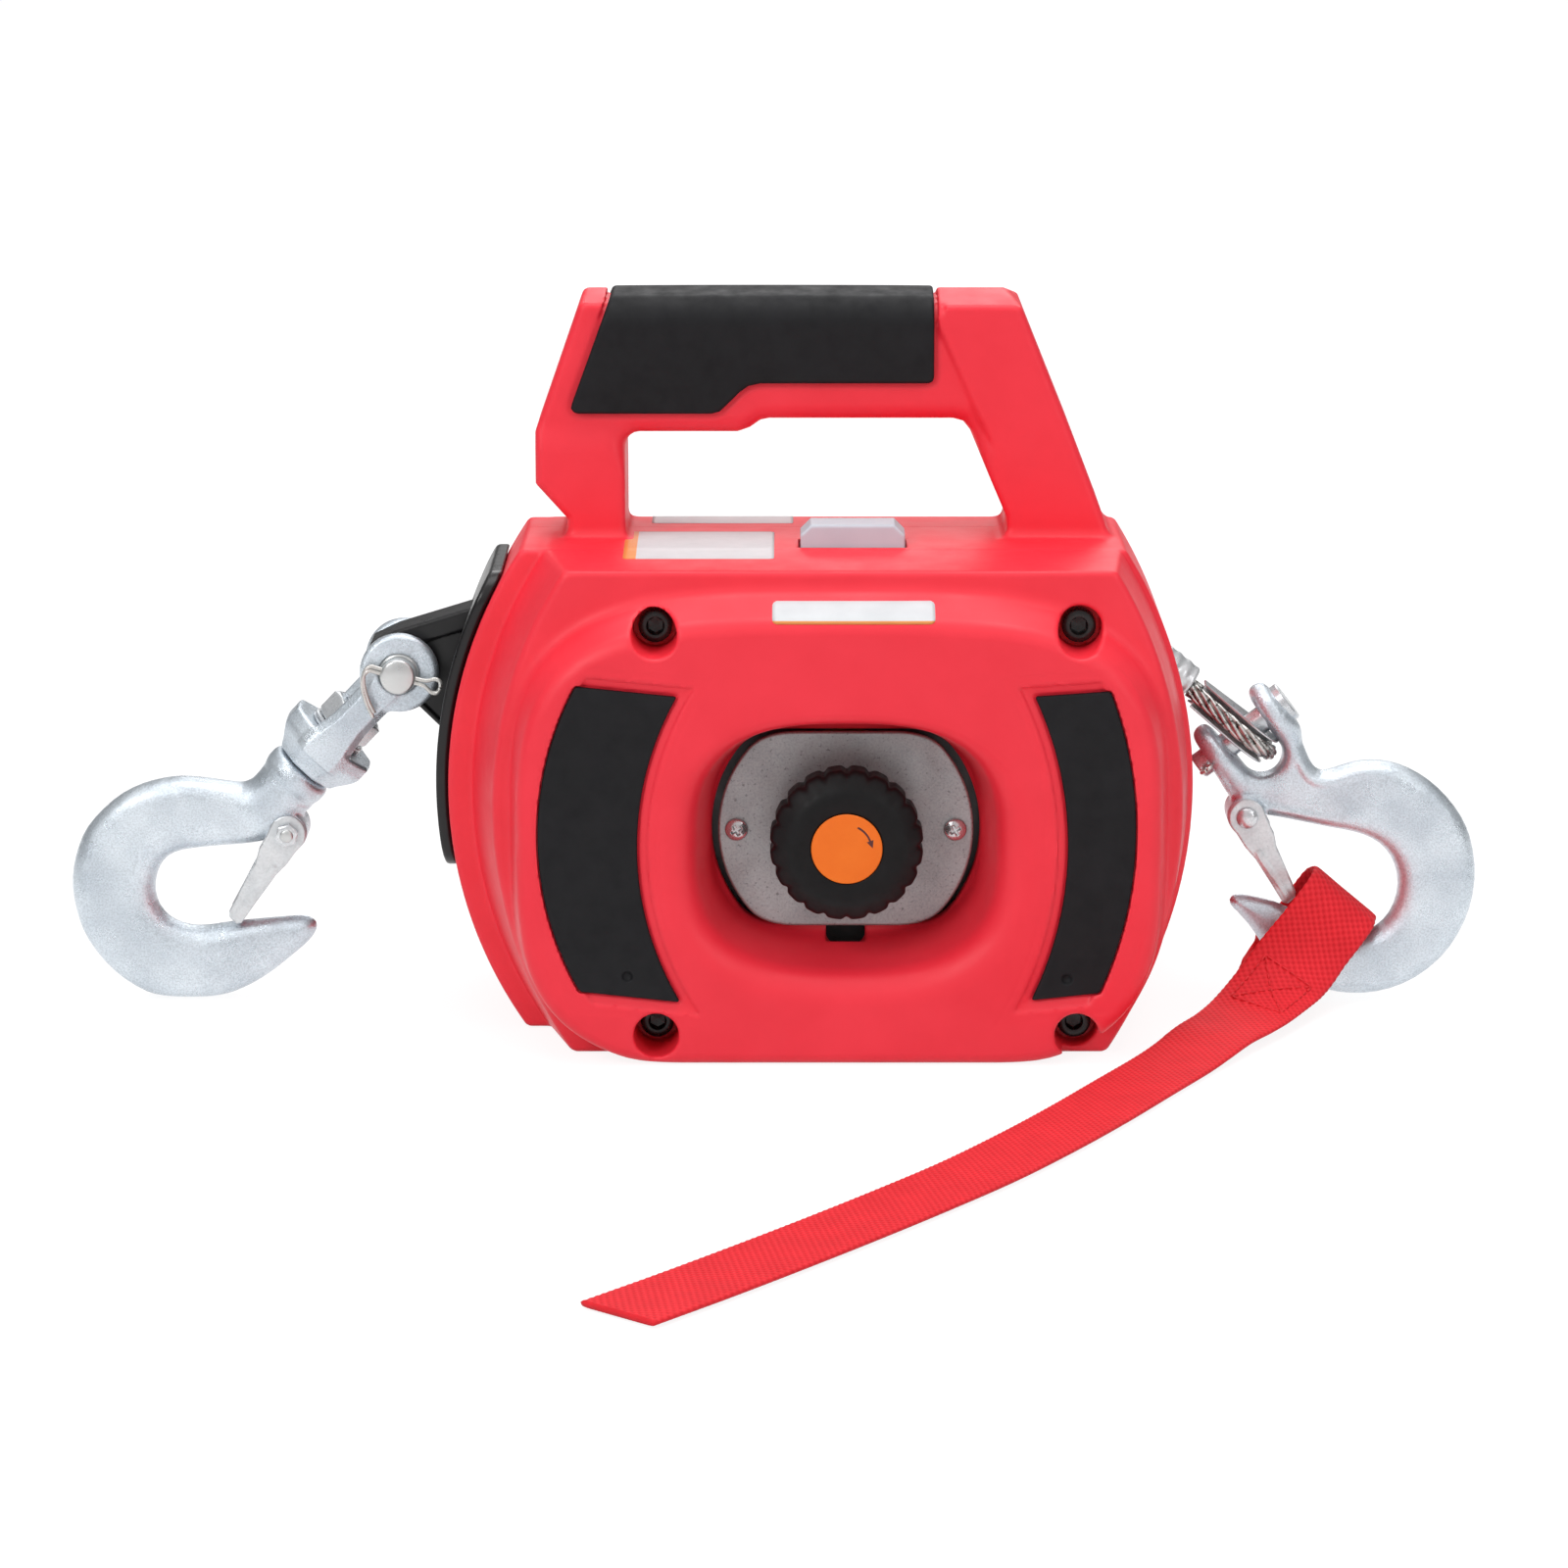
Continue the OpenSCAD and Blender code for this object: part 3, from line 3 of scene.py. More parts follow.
import bmesh
import bpy
import numpy as np
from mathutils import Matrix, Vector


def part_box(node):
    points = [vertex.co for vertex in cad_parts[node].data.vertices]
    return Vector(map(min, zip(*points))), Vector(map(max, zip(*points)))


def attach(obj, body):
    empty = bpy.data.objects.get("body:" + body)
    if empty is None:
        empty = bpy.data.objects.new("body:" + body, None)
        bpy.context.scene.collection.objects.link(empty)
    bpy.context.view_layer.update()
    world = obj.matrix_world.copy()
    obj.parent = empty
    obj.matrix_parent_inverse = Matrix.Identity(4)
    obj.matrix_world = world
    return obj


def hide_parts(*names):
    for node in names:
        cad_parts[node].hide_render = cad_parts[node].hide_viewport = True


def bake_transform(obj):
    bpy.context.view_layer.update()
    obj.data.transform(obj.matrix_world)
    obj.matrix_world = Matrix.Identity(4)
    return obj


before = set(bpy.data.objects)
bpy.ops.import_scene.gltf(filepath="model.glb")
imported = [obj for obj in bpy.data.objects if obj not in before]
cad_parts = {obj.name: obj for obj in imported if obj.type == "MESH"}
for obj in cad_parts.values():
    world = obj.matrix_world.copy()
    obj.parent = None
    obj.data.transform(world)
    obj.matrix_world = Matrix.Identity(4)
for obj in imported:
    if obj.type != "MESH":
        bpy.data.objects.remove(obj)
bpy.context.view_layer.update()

import openvdb
from mathutils import Matrix, Vector

MM = 0.001
SHAFT_Z = 63  # height of the drum's and the knob's axis
rad = math.radians
scene = bpy.context.scene


# ---------------------------------------------------------------- small helpers
def link(obj):
    scene.collection.objects.link(obj)
    return obj


def mesh_object(name, verts, faces, material, smooth=True, scale=MM):
    """A mesh piece from points in millimetres."""
    me = bpy.data.meshes.new(name)
    v = np.asarray(verts, float) * scale
    me.from_pydata(v.tolist(), [], faces)
    me.validate()
    me.update()
    me.polygons.foreach_set("use_smooth", [smooth] * len(me.polygons))
    obj = bpy.data.objects.new(name, me)
    for m in material if isinstance(material, (list, tuple)) else [material]:
        me.materials.append(m)
    return link(obj)


def outward(obj):
    bm = bmesh.new()
    bm.from_mesh(obj.data)
    bmesh.ops.recalc_face_normals(bm, faces=bm.faces)
    bm.to_mesh(obj.data)
    bm.free()
    return obj


def sharpen(obj, angle=35):
    obj.data.set_sharp_from_angle(angle=rad(angle))
    return obj


def place(obj, body, slot, *nodes):
    if nodes:
        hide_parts(*nodes)
    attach(obj, body)


def place_mesh(name, mesh, material, body, slot, *nodes):
    """A piece from (points, faces) in millimetres."""
    place(outward(mesh_object(name, *mesh, material)), body, slot, *nodes)


# ---------------------------------------------------------------- signed distances, millimetres
def smin(a, b, k):
    h = np.clip(0.5 + 0.5 * (b - a) / k, 0, 1)
    return b * (1 - h) + a * h - k * h * (1 - h)


def smax(a, b, k):
    return -smin(-a, -b, k)


def step(x, a, b):
    t = np.clip((x - a) / (b - a), 0, 1)
    return t * t * (3 - 2 * t)


def disc(x, z, c, r):
    return np.hypot(x - c[0], z - c[1]) - r


def poly(x, z, pts):
    """Exact signed distance to a polygon, negative inside."""
    pts = np.asarray(pts, np.float64)
    best = np.full(np.shape(x), 1e18)
    sign = np.ones(np.shape(x))
    for i in range(len(pts)):
        a, b = pts[i], pts[i - 1]
        ex, ez = b - a
        wx, wz = x - a[0], z - a[1]
        t = np.clip((wx * ex + wz * ez) / (ex * ex + ez * ez), 0, 1)
        dx, dz = wx - ex * t, wz - ez * t
        best = np.minimum(best, dx * dx + dz * dz)
        c1, c2, c3 = z >= a[1], z < b[1], ex * wz > ez * wx
        flip = (c1 & c2 & c3) | (~c1 & ~c2 & ~c3)
        sign = np.where(flip, -sign, sign)
    return sign * np.sqrt(best)


def arc(c, r, a0, a1, n):
    return [(c[0] + r * math.cos(rad(a0 + (a1 - a0) * i / n)),
        c[1] + r * math.sin(rad(a0 + (a1 - a0) * i / n))) for i in range(n + 1)]


def soften(points, closed=False, turns=2):
    """Cuts the corners of a line of points."""
    p = [np.array(c, float) for c in points]
    for _ in range(turns):
        out = [] if closed else [p[0]]
        pairs = list(zip(p, p[1:])) + ([(p[-1], p[0])] if closed else [])
        for a, b in pairs:
            out += [0.75 * a + 0.25 * b, 0.25 * a + 0.75 * b]
        p = out + ([] if closed else [p[-1]])
    return [tuple(c) for c in p]


def power(x, z, cx, cz, hx, hz, p):
    """Distance-like value of a squared-off ellipse; centre and halves may be arrays."""
    u, v = np.abs(x - cx) / hx + 1e-6, np.abs(z - cz) / hz + 1e-6
    f = (u**p + v**p) ** (1 / p)
    g = np.sqrt((u ** (p - 1) / hx) ** 2 + (v ** (p - 1) / hz) ** 2) * f ** (1 - p)
    return (f - 1) / np.maximum(g, 1e-3)


def rounded(a, b, r):
    """Both distances met, with the corner between them rounded by r."""
    a, b = a + r, b + r
    return np.minimum(np.maximum(a, b), 0) + np.hypot(np.maximum(a, 0), np.maximum(b, 0)) - r


def slab(d2, y, y0, y1, r):
    """d2 extruded from y0 to y1 with its edges rounded by r."""
    return rounded(d2, np.abs(y - (y0 + y1) / 2) - (y1 - y0) / 2, r)


def box2(x, z, cx, cz, hx, hz, r=0.0):
    return rounded(np.abs(x - cx) - hx, np.abs(z - cz) - hz, r)


def sdf_points(f, lo, hi, h):
    """Vertices and faces of f's zero surface in the box lo..hi, each vertex drawn onto the surface."""
    lo, hi = np.array(lo, float), np.array(hi, float)
    block = 4  # voxels to a side of a coarse cell
    nb = np.ceil((hi - lo) / h / block).astype(int) + 1
    axes = [lo[i] + h * (np.arange(nb[i]) * block + (block - 1) / 2) for i in range(3)]
    coarse = f(*np.meshgrid(*axes, indexing="ij"))
    near = np.abs(coarse) < 1.7 * h * (block * 0.87 + 1.5)
    dense = np.repeat(np.repeat(np.repeat(np.where(coarse > 0, 3 * h, -3 * h), block, 0), block, 1),
        block, 2).astype(np.float32)
    local = np.stack(np.meshgrid(*[np.arange(block)] * 3, indexing="ij"), -1).reshape(-1, 3)
    at = (np.argwhere(near)[:, None, :] * block + local).reshape(-1, 3)
    for s in range(0, len(at), 400000):
        p = at[s : s + 400000]
        q = lo + h * p
        dense[p[:, 0], p[:, 1], p[:, 2]] = np.clip(f(q[:, 0], q[:, 1], q[:, 2]), -3 * h, 3 * h)
    grid = openvdb.FloatGrid(3 * h)
    grid.copyFromArray(dense)
    pts, _, quads = grid.convertToPolygons(isovalue=0.0, adaptivity=0.0)
    p = lo + h * np.asarray(pts, float)
    for _ in range(4):
        d = f(p[:, 0], p[:, 1], p[:, 2])
        g = gradient(f, p, 0.3 * h)
        move = g * (d / np.maximum((g * g).sum(1), 0.05))[:, None]
        size = np.linalg.norm(move, axis=1)
        p -= move * (np.minimum(size, 0.6 * h) / np.maximum(size, 1e-12))[:, None]
    return p, [tuple(int(i) for i in t) for t in quads[:, ::-1]]


def gradient(f, p, e):
    out = np.empty_like(p)
    for i in range(3):
        a, b = p.copy(), p.copy()
        a[:, i] += e
        b[:, i] -= e
        out[:, i] = (f(a[:, 0], a[:, 1], a[:, 2]) - f(b[:, 0], b[:, 1], b[:, 2])) / (2 * e)
    return out


def local_to_world(p, origin, angle):
    """Points (along, y, across) of a load line in the XZ plane, in the row frame."""
    c, s = math.cos(rad(angle)), math.sin(rad(angle))
    p = np.asarray(p, float)
    return np.stack([origin[0] + p[:, 0] * c - p[:, 2] * s, p[:, 1],
        origin[1] + p[:, 0] * s + p[:, 2] * c], 1)


def sdf_object(name, f, lo, hi, h, material, where=None):
    p, faces = sdf_points(f, lo, hi, h)
    if where:
        p = local_to_world(p, *where)
    return outward(mesh_object(name, p, faces, material))


# ---------------------------------------------------------------- lathe and tube meshes
def circle(n):
    return np.arange(n) * 2 * math.pi / n


def strip_faces(rows, m, ends=True):
    """Quads between rings of m points, a face on each end; without ends the last ring meets the first."""
    faces = [(i * m + j, i * m + (j + 1) % m, (i + 1) % rows * m + (j + 1) % m, (i + 1) % rows * m + j)
             for i in range(rows - 1 if ends else rows) for j in range(m)]
    return faces + [tuple(range(m))[::-1], tuple((rows - 1) * m + j for j in
        range(m))] if ends else faces


def lathe(name, profile, place_at, material, segs=64, hexed=(), ends=True):
    """Solid of revolution. profile is (axial, radius) from end to end; rows in hexed are hexagonal.
    place_at maps (axial, u, v) arrays to the row frame."""
    ang = circle(segs)
    verts = []
    for i, (a, r) in enumerate(profile):
        rr = r / np.cos((ang + math.pi / 6) % (math.pi / 3) - math.pi / 6) if i in hexed else float(r)
        verts.append(place_at(np.full(segs, float(a)), rr * np.cos(ang), rr * np.sin(ang)))
    faces = strip_faces(len(profile), segs, ends)
    return sharpen(outward(mesh_object(name, np.concatenate(verts), faces, material)), 40)


def ring(name, profile, place_at, material, segs=64):
    """Closed profile of (axial, radius) points turned about the axis."""
    return lathe(name, profile, place_at, material, segs, ends=False)


def y_axis(x, z, sign=1):
    return lambda a, u, v: np.stack([x + u, sign * a, z + v], 1)


def load_axis(origin, angle):
    return lambda a, u, v: local_to_world(np.stack([a, u, v], 1), origin, angle)


def cross_axis(origin, angle, s=0.0, q=0.0, sign=1):
    """Axis along Y at a point of a load line."""
    return lambda a, u, v: local_to_world(np.stack([s + u, sign * a, q + v], 1), origin, angle)


def frames_along(path):
    """Smooth path's points, tangents and two normals that don't twist."""
    p = np.asarray(path, float)
    t = np.gradient(p, axis=0)
    t /= np.linalg.norm(t, axis=1)[:, None]
    n = np.zeros_like(p)
    up = np.array([0, 1.0, 0]) if abs(t[0][1]) < 0.9 else np.array([1.0, 0, 0])
    n[0] = np.cross(t[0], up)
    n[0] /= np.linalg.norm(n[0])
    for i in range(1, len(p)):
        w = n[i - 1] - t[i] * (n[i - 1] @ t[i])
        n[i] = w / np.linalg.norm(w)
    return p, t, n, np.cross(t, n)


def lengths_along(p):
    return np.concatenate([[0], np.cumsum(np.linalg.norm(np.diff(p, axis=0), axis=1))])


def sweep(p, n, b, radii):
    """Rings round the points p in the planes of n and b; radii is (points, points of a ring)."""
    ang = circle(radii.shape[1])
    v = p[:, None, :] + radii[:, :, None] * (np.cos(ang)[None, :, None] * n[:, None, :]
                                             + np.sin(ang)[None, :, None] * b[:, None, :])
    return v.reshape(-1, 3), strip_faces(len(p), radii.shape[1])


def tube_points(path, radius, segs=10):
    p, _, n, b = frames_along(path)
    r = np.broadcast_to(np.asarray(radius, float), (len(p),))
    return sweep(p, n, b, np.repeat(r[:, None], segs, 1))


def join(parts):
    verts, faces, at = [], [], 0
    for v, f in parts:
        verts.append(np.asarray(v, float))
        faces += [tuple(i + at for i in q) for q in f]
        at += len(v)
    return np.concatenate(verts), faces


def smooth_path(points, gap):
    """Catmull-Rom through the points, one every gap."""
    p = np.asarray(points, float)
    q = np.vstack([2 * p[0] - p[1], p, 2 * p[-1] - p[-2]])
    out = []
    for i in range(1, len(q) - 2):
        a, b, c, d = q[i - 1], q[i], q[i + 1], q[i + 2]
        n = max(4, int(np.linalg.norm((c - b)[:3]) / gap * 4))
        for t in np.arange(n) / n:
            out.append(0.5 * (2 * b + (c - a) * t + (2 * a - 5 * b + 4 * c - d) * t * t + (3 * b - a - 3
                * c + d) * t**3))
    out.append(q[-2])
    out = np.array(out)
    s = lengths_along(out[:, :3])
    n = max(2, int(round(s[-1] / gap)))
    at = np.linspace(0, s[-1], n + 1)
    return np.stack([np.interp(at, s, out[:, i]) for i in range(out.shape[1])], 1)


# ---------------------------------------------------------------- materials
def feed(nt, n, inputs):
    """Sets a node's inputs by name or number: another node's output is linked, all else is a value."""
    for key, value in inputs.items():
        if isinstance(value, bpy.types.NodeSocket):
            nt.links.new(value, n.inputs[key])
        else:
            n.inputs[key].default_value = value


def add_node(nt, kind, inputs=None, **settings):
    n = nt.nodes.new("ShaderNode" + kind)
    for key, value in settings.items():
        setattr(n, key, value)
    feed(nt, n, inputs or {})
    return n


def new_material(name):
    """A material and its emptied node tree."""
    m = bpy.data.materials.new(name)
    m.use_nodes = True
    m.node_tree.nodes.clear()
    return m, m.node_tree


def noise(nt, scale, detail=3.0, rough=0.55):
    at = add_node(nt, "TexCoord").outputs["Object"]
    return add_node(nt, "TexNoise", {"Scale": scale, "Detail": detail, "Roughness": rough,
        "Vector": at}).outputs["Fac"]


def ramp(nt, value, stops):
    r = add_node(nt, "ValToRGB", {0: value})
    e = r.color_ramp.elements
    while len(e) < len(stops):
        e.new(0.5)
    for s, (at, c) in zip(e, stops):
        s.position = at
        s.color = (*c, 1)
    return r.outputs[0]


def to_range(nt, value, lo, hi, a=0.3, b=0.7):
    return add_node(nt, "MapRange", {0: value, "From Min": a, "From Max": b, "To Min": lo,
        "To Max": hi}).outputs[0]


def bump(nt, height, strength, distance, **under):
    return add_node(nt, "Bump", {"Height": height, "Strength": strength, "Distance": distance,
        **under}).outputs[0]


def math_node(nt, operation, a, b):
    return add_node(nt, "Math", {0: a, 1: b}, operation=operation).outputs[0]


def mix_colours(nt, factor, a, b, blend="MIX"):
    return add_node(nt, "Mix", {"Factor": factor, "A": a, "B": b}, data_type="RGBA",
        blend_type=blend).outputs["Result"]


def principled(name):
    m, nt = new_material(name)
    b = add_node(nt, "BsdfPrincipled")
    add_node(nt, "OutputMaterial", {0: b.outputs[0]})
    return m, nt, b


BLACK, WHITE = (0, 0, 0), (1, 1, 1)


def surface(name, dark, light, metal, rough, big, fine, bumps, depth, spots=None, coat=0.0, spec=0.5,
    grain=0.0):
    """Two-tone noise colour, roughness and bump from noise; spots is (colour, amount, scale)."""
    m, nt, b = principled(name)
    colour = ramp(nt, noise(nt, big, 4), [(0.3, dark), (0.7, light)])
    if spots:
        c, amount, scale = spots
        mask = ramp(nt, noise(nt, scale, 4, 0.6), [(0.66 - 0.2 * amount, BLACK), (0.74 - 0.2 * amount,
            WHITE)])
        colour = mix_colours(nt, mask, colour, (*c, 1))
    if grain:
        specks = ramp(nt, noise(nt, fine * 0.8, 2), [(0.36, (1 - grain,) * 3), (0.6, WHITE)])
        colour = mix_colours(nt, 1, colour, specks, "MULTIPLY")
    small = bump(nt, noise(nt, fine, 3), bumps, depth)
    feed(nt, b, {
        "Base Color": colour, "Metallic": metal, "Roughness": to_range(nt, noise(nt, big * 2.3, 4),
            *rough),
        "Coat Weight": coat, "Coat Roughness": 0.2, "Specular IOR Level": spec,
        "Normal": bump(nt, noise(nt, big * 1.6, 2), bumps * 0.5, depth * 4, Normal=small),
    })
    return m


RED = surface("case_red", (0.86, 0.023, 0.044), (0.92, 0.030, 0.054), 0, (0.40, 0.50), 45, 1500, 0.10,
    0.00006, spec=0.42)
RUBBER = surface("rubber_black", (0.0036, 0.0036, 0.0048), (0.0062, 0.0060, 0.0078), 0, (0.50, 0.68),
    80, 2600, 0.22, 0.00006, spec=0.26)
KNOB = surface("knob_black", (0.0022, 0.0019, 0.0023), (0.0048, 0.0042, 0.0048), 0, (0.42, 0.6), 160,
    2400, 0.25, 0.00008, spec=0.22)
PAINT = surface("bracket_black", (0.0050, 0.0046, 0.0052), (0.0085, 0.0078, 0.0088), 0, (0.26, 0.38),
    70, 800, 0.1, 0.00005, spec=0.34, coat=0.12)
BOLT = surface("bolt_black", (0.012, 0.011, 0.011), (0.02, 0.018, 0.018), 0.4, (0.22, 0.36), 300, 1800,
    0.12, 0.00004)
BEZEL = surface("bezel_black", (0.006, 0.006, 0.007), (0.010, 0.010, 0.011), 0, (0.38, 0.5), 120, 2000,
    0.15, 0.00005, spec=0.36)
PLATE = surface("galvanised", (0.30, 0.31, 0.315), (0.44, 0.45, 0.455), 0.55, (0.34, 0.46), 55, 1900,
    0.3, 0.00006, spots=((0.20, 0.20, 0.205), 0.36, 900), grain=0.16)
SCREW = surface("screw_zinc", (0.50, 0.49, 0.50), (0.66, 0.65, 0.66), 0.75, (0.16, 0.28), 160, 1500,
    0.1, 0.00003)
ZINC = surface("zinc_bright", (0.60, 0.625, 0.655), (0.78, 0.80, 0.82), 0.7, (0.2, 0.34), 110, 1500,
    0.12, 0.00004, grain=0.12)
CAST = surface("zinc_cast", (0.60, 0.665, 0.73), (0.80, 0.87, 0.93), 0.75, (0.24, 0.36), 60, 2300, 0.8,
    0.00020, grain=0.2)
STEEL = surface("frame_steel", (0.16, 0.165, 0.17), (0.24, 0.245, 0.25), 0.9, (0.36, 0.5), 60, 1200,
    0.2, 0.00006)
MACHINED = surface("machined_steel", (0.58, 0.59, 0.59), (0.70, 0.71, 0.70), 0.75, (0.26, 0.38), 90,
    1500, 0.12, 0.00004)
SPRING = surface("spring_steel", (0.36, 0.36, 0.37), (0.5, 0.5, 0.51), 1, (0.24, 0.34), 200, 1800, 0.1,
    0.00003)
COTTER = surface("cotter_steel", (0.54, 0.525, 0.50), (0.68, 0.665, 0.64), 0.7, (0.24, 0.36), 260, 1800,
    0.12, 0.00003)
BRONZE = surface("bronze", (0.42, 0.27, 0.10), (0.56, 0.38, 0.16), 1, (0.28, 0.42), 90, 1400, 0.15,
    0.00005)
CAP = surface("cap_grey", (0.54, 0.61, 0.68), (0.60, 0.67, 0.74), 0, (0.36, 0.46), 60, 1500, 0.1,
    0.00005, spec=0.4)
ROPE = surface("rope_wire", (0.30, 0.29, 0.28), (0.72, 0.70, 0.67), 1, (0.26, 0.42), 260, 2400, 0.3,
    0.00006, spots=((0.09, 0.085, 0.08), 0.6, 700))
SHEET = surface("thimble_zinc", (0.62, 0.645, 0.665), (0.78, 0.80, 0.815), 0.65, (0.26, 0.4), 120, 1500,
    0.2, 0.00006, grain=0.1)
ORANGE = surface("disc_orange", (0.86, 0.155, 0.006), (0.91, 0.185, 0.010), 0, (0.38, 0.46), 90, 1500,
    0.05, 0.00003, spec=0.35)
INK = surface("disc_ink", (0.07, 0.012, 0.012), (0.09, 0.016, 0.014), 0, (0.4, 0.5), 200, 1500, 0.05,
    0.00003)
PAPER = surface("label_white", (0.60, 0.62, 0.64), (0.66, 0.68, 0.70), 0, (0.36, 0.46), 120, 1500, 0.05,
    0.00003)
STRIPE = surface("label_orange", (0.80, 0.29, 0.07), (0.84, 0.33, 0.09), 0, (0.36, 0.46), 120, 1500,
    0.05, 0.00003)
THREAD = surface("strap_thread", (0.66, 0.012, 0.019), (0.80, 0.018, 0.027), 0, (0.5, 0.65), 700, 3000,
    0.3, 0.00005)


def webbing():
    """Red webbing: the height of the weave, kept in the mesh, gives painted shade in the gaps between the
    threads and a painted highlight on their crowns.
    """
    m, nt, b = principled("strap_red")
    weave = add_node(nt, "Attribute", attribute_name="weave").outputs["Fac"]
    # painted shade where the weave lies low, painted highlight where it stands high
    colour = ramp(nt, weave, [(0.0, (0.66, 0.011, 0.019)), (0.45, (0.80, 0.019, 0.030)),
        (1.0, (0.90, 0.034, 0.048))])
    tint = ramp(nt, noise(nt, 120, 3), [(0.3, (0.90, 0.86, 0.86)), (0.7, WHITE)])
    feed(nt, b, {
        "Base Color": mix_colours(nt, 1, colour, tint, "MULTIPLY"), "Roughness": 0.62,
            "Sheen Weight": 0.08,
        "Sheen Roughness": 0.4, "Specular IOR Level": 0.22,
            "Normal": bump(nt, noise(nt, 3800, 2), 0.35, 0.00008),
    })
    return m


WEB = webbing()

# ---------------------------------------------------------------- camera
cam_data = bpy.data.cameras.new("camera")
cam_data.lens = 119.5
cam_data.sensor_width = 36
cam_data.clip_end = 50
camera = link(bpy.data.objects.new("camera", cam_data))
camera.location = (-0.0177, -1.5, 0.407)
camera.rotation_euler = (rad(90) - math.atan2(0.3421, 1.5), 0, 0)
scene.camera = camera

# ---------------------------------------------------------------- strap
ROUTE = [
    (103, -55, 1.2, 0), (108, -45, 1.2, 0), (113.5, -35, 1.2, 0), (119.5, -24, 1.2, 0),
        (124, -13, 1.2, 0),
    (127, -3, 1.3, 0), (129.6, 5.4, 2.1, 0.1), (132, 11.4, 5.2, 0.42), (135.2, 11.8, 10.4, 0.85),
        (139, 10, 16.4, 1),
    (143.2, 8.8, 23, 1), (147.2, 6.1, 29.3, 1), (148.8, 0, 31.8, 1), (147.6, -4.8, 30.4, 1),
    (144.5, -8.3, 27, 1), (139, -11, 20.5, 1), (133, -15.5, 14, 0.75), (126, -24, 8.6, 0.4),
        (119, -35, 5.4, 0.2),
    (113, -45, 4.2, 0.1), (106, -56, 3.6, 0.05), (99, -68, 2.2, 0), (92, -80, 1.3, 0),
        (80, -102, 1.2, 0),
    (66, -128, 1.2, 0), (51, -154, 1.2, 0), (34, -181, 1.2, 0), (16, -206, 1.2, 0), (-3, -231, 1.2, 0),
    (-22, -255, 1.2, 0), (-40, -277, 1.2, 0), (-58, -298, 1.2, 0),
]
FOLD = 12  # the point of ROUTE where the sewn tail ends and the strap begins
STRAP_W, STRAP_T = 25.0, 1.8
THREAD_W, THREAD_L = 1.25, 1.15  # a thread of the weave across and along


def strap_frame(points):
    """Centre, width direction and face direction along the strap."""
    p = points[:, :3]
    t = np.gradient(p, axis=0)
    t /= np.linalg.norm(t, axis=1)[:, None]
    k = np.clip(points[:, 3:4], 0, 1)
    level = np.stack([np.abs(t[:, 1]), -np.abs(t[:, 0]), 0 * t[:, 0]], 1)
    level /= np.maximum(np.linalg.norm(level, axis=1), 1e-6)[:, None]
    w = k * np.array([0.755, 0, -0.655]) + (1 - k) * level
    w -= t * (w * t).sum(1)[:, None]
    w /= np.linalg.norm(w, axis=1)[:, None]
    return p, w, np.cross(t, w)


def strap_piece(name, control):
    """The webbing along a line of control points, its length and its line."""
    pts = smooth_path(control, 0.5)
    p, w, n = strap_frame(pts)
    s = lengths_along(p)
    across = 50
    u = np.linspace(-1, 1, across + 1)
    half = STRAP_W / 2 - 0.12
    top = STRAP_T / 2 * np.clip(1 - np.abs(u) ** 14, 0, 1) ** 0.5
    loop_u = np.concatenate([u, u[-2:0:-1]])
    loop_h = np.concatenate([np.maximum(top, 0.16), -np.maximum(top[-2:0:-1], 0.16)])
    side = np.concatenate([np.ones(across + 1), -np.ones(across - 1)])
    inner = 1 - np.abs(loop_u) ** 10
    ss, uu = s[:, None], loop_u[None, :] * half
    cell = np.sin(math.pi * uu / THREAD_W) * np.sin(math.pi * ss / THREAD_L)
    rib = 0.35 * np.cos(2 * math.pi * uu / THREAD_W)
    weave = np.clip(0.5 + 0.62 * cell + 0.25 * rib, 0, 1)
    lift = (weave - 0.62) * 0.30 * inner[None, :]
    edge = 1 + 0.006 * np.sin(2 * math.pi * s / 2.3)[:, None]
    height = loop_h[None, :] + side[None, :] * np.minimum(lift, 0.09)
    v = p[:, None, :] + (uu * edge)[:, :, None] * w[:, None, :] + height[:, :, None] * n[:, None, :]
    obj = outward(mesh_object(name, v.reshape(-1, 3), strip_faces(len(p), v.shape[1]), WEB))
    # the weave's height, kept for the strap's colour: painted shade in its gaps and a painted highlight
    # on its crowns
    a = obj.data.attributes.new("weave", "FLOAT", "POINT")
    a.data.foreach_set("value", weave.astype(np.float32).ravel())
    return obj, s[-1], pts


strap, strap_len, strap_pts = strap_piece("pull_strap_main", ROUTE[FOLD:])
tail = strap_piece("pull_strap_tail", ROUTE[: FOLD + 1][::-1])[0]


def strap_point(pts, s_mm, u_mm, h_mm):
    """Points at a distance along the strap, across it and above its face."""
    p, w, n = strap_frame(pts)
    s = lengths_along(p)
    at = lambda a: np.stack([np.interp(s_mm, s, a[:, i]) for i in range(3)], -1)
    return at(p) + np.asarray(u_mm)[..., None] * at(w) + np.asarray(h_mm)[..., None] * at(n)


def stitches(name, s0, s1, half_u, lift):
    """A sewn box with a cross, as short sunk threads on the strap's outer face."""
    corners = [(s0, -half_u), (s0, half_u), (s1, half_u), (s1, -half_u)]
    lines = [(corners[i], corners[(i + 1) % 4]) for i in range(4)] + [(corners[0], corners[2]),
        (corners[1], corners[3])]
    parts = []
    for a, b in lines:
        a, b = np.array(a, float), np.array(b, float)
        length = np.linalg.norm(b - a)
        count = int(length / 2.6)
        for i in range(count):
            t0, t1 = (i + 0.12) / count, (i + 0.88) / count
            t = np.linspace(t0, t1, 7)
            su = a + (b - a) * t[:, None]
            h = lift + 0.22 * np.sin(np.linspace(0, math.pi, 7)) - 0.12
            path = strap_point(strap_pts, su[:, 0], su[:, 1], h)
            parts.append(tube_points(path, 0.31 * np.array([0.45, 0.85, 1, 1, 1, 0.85, 0.45]), 8))
    return outward(mesh_object(name, *join(parts), THREAD))


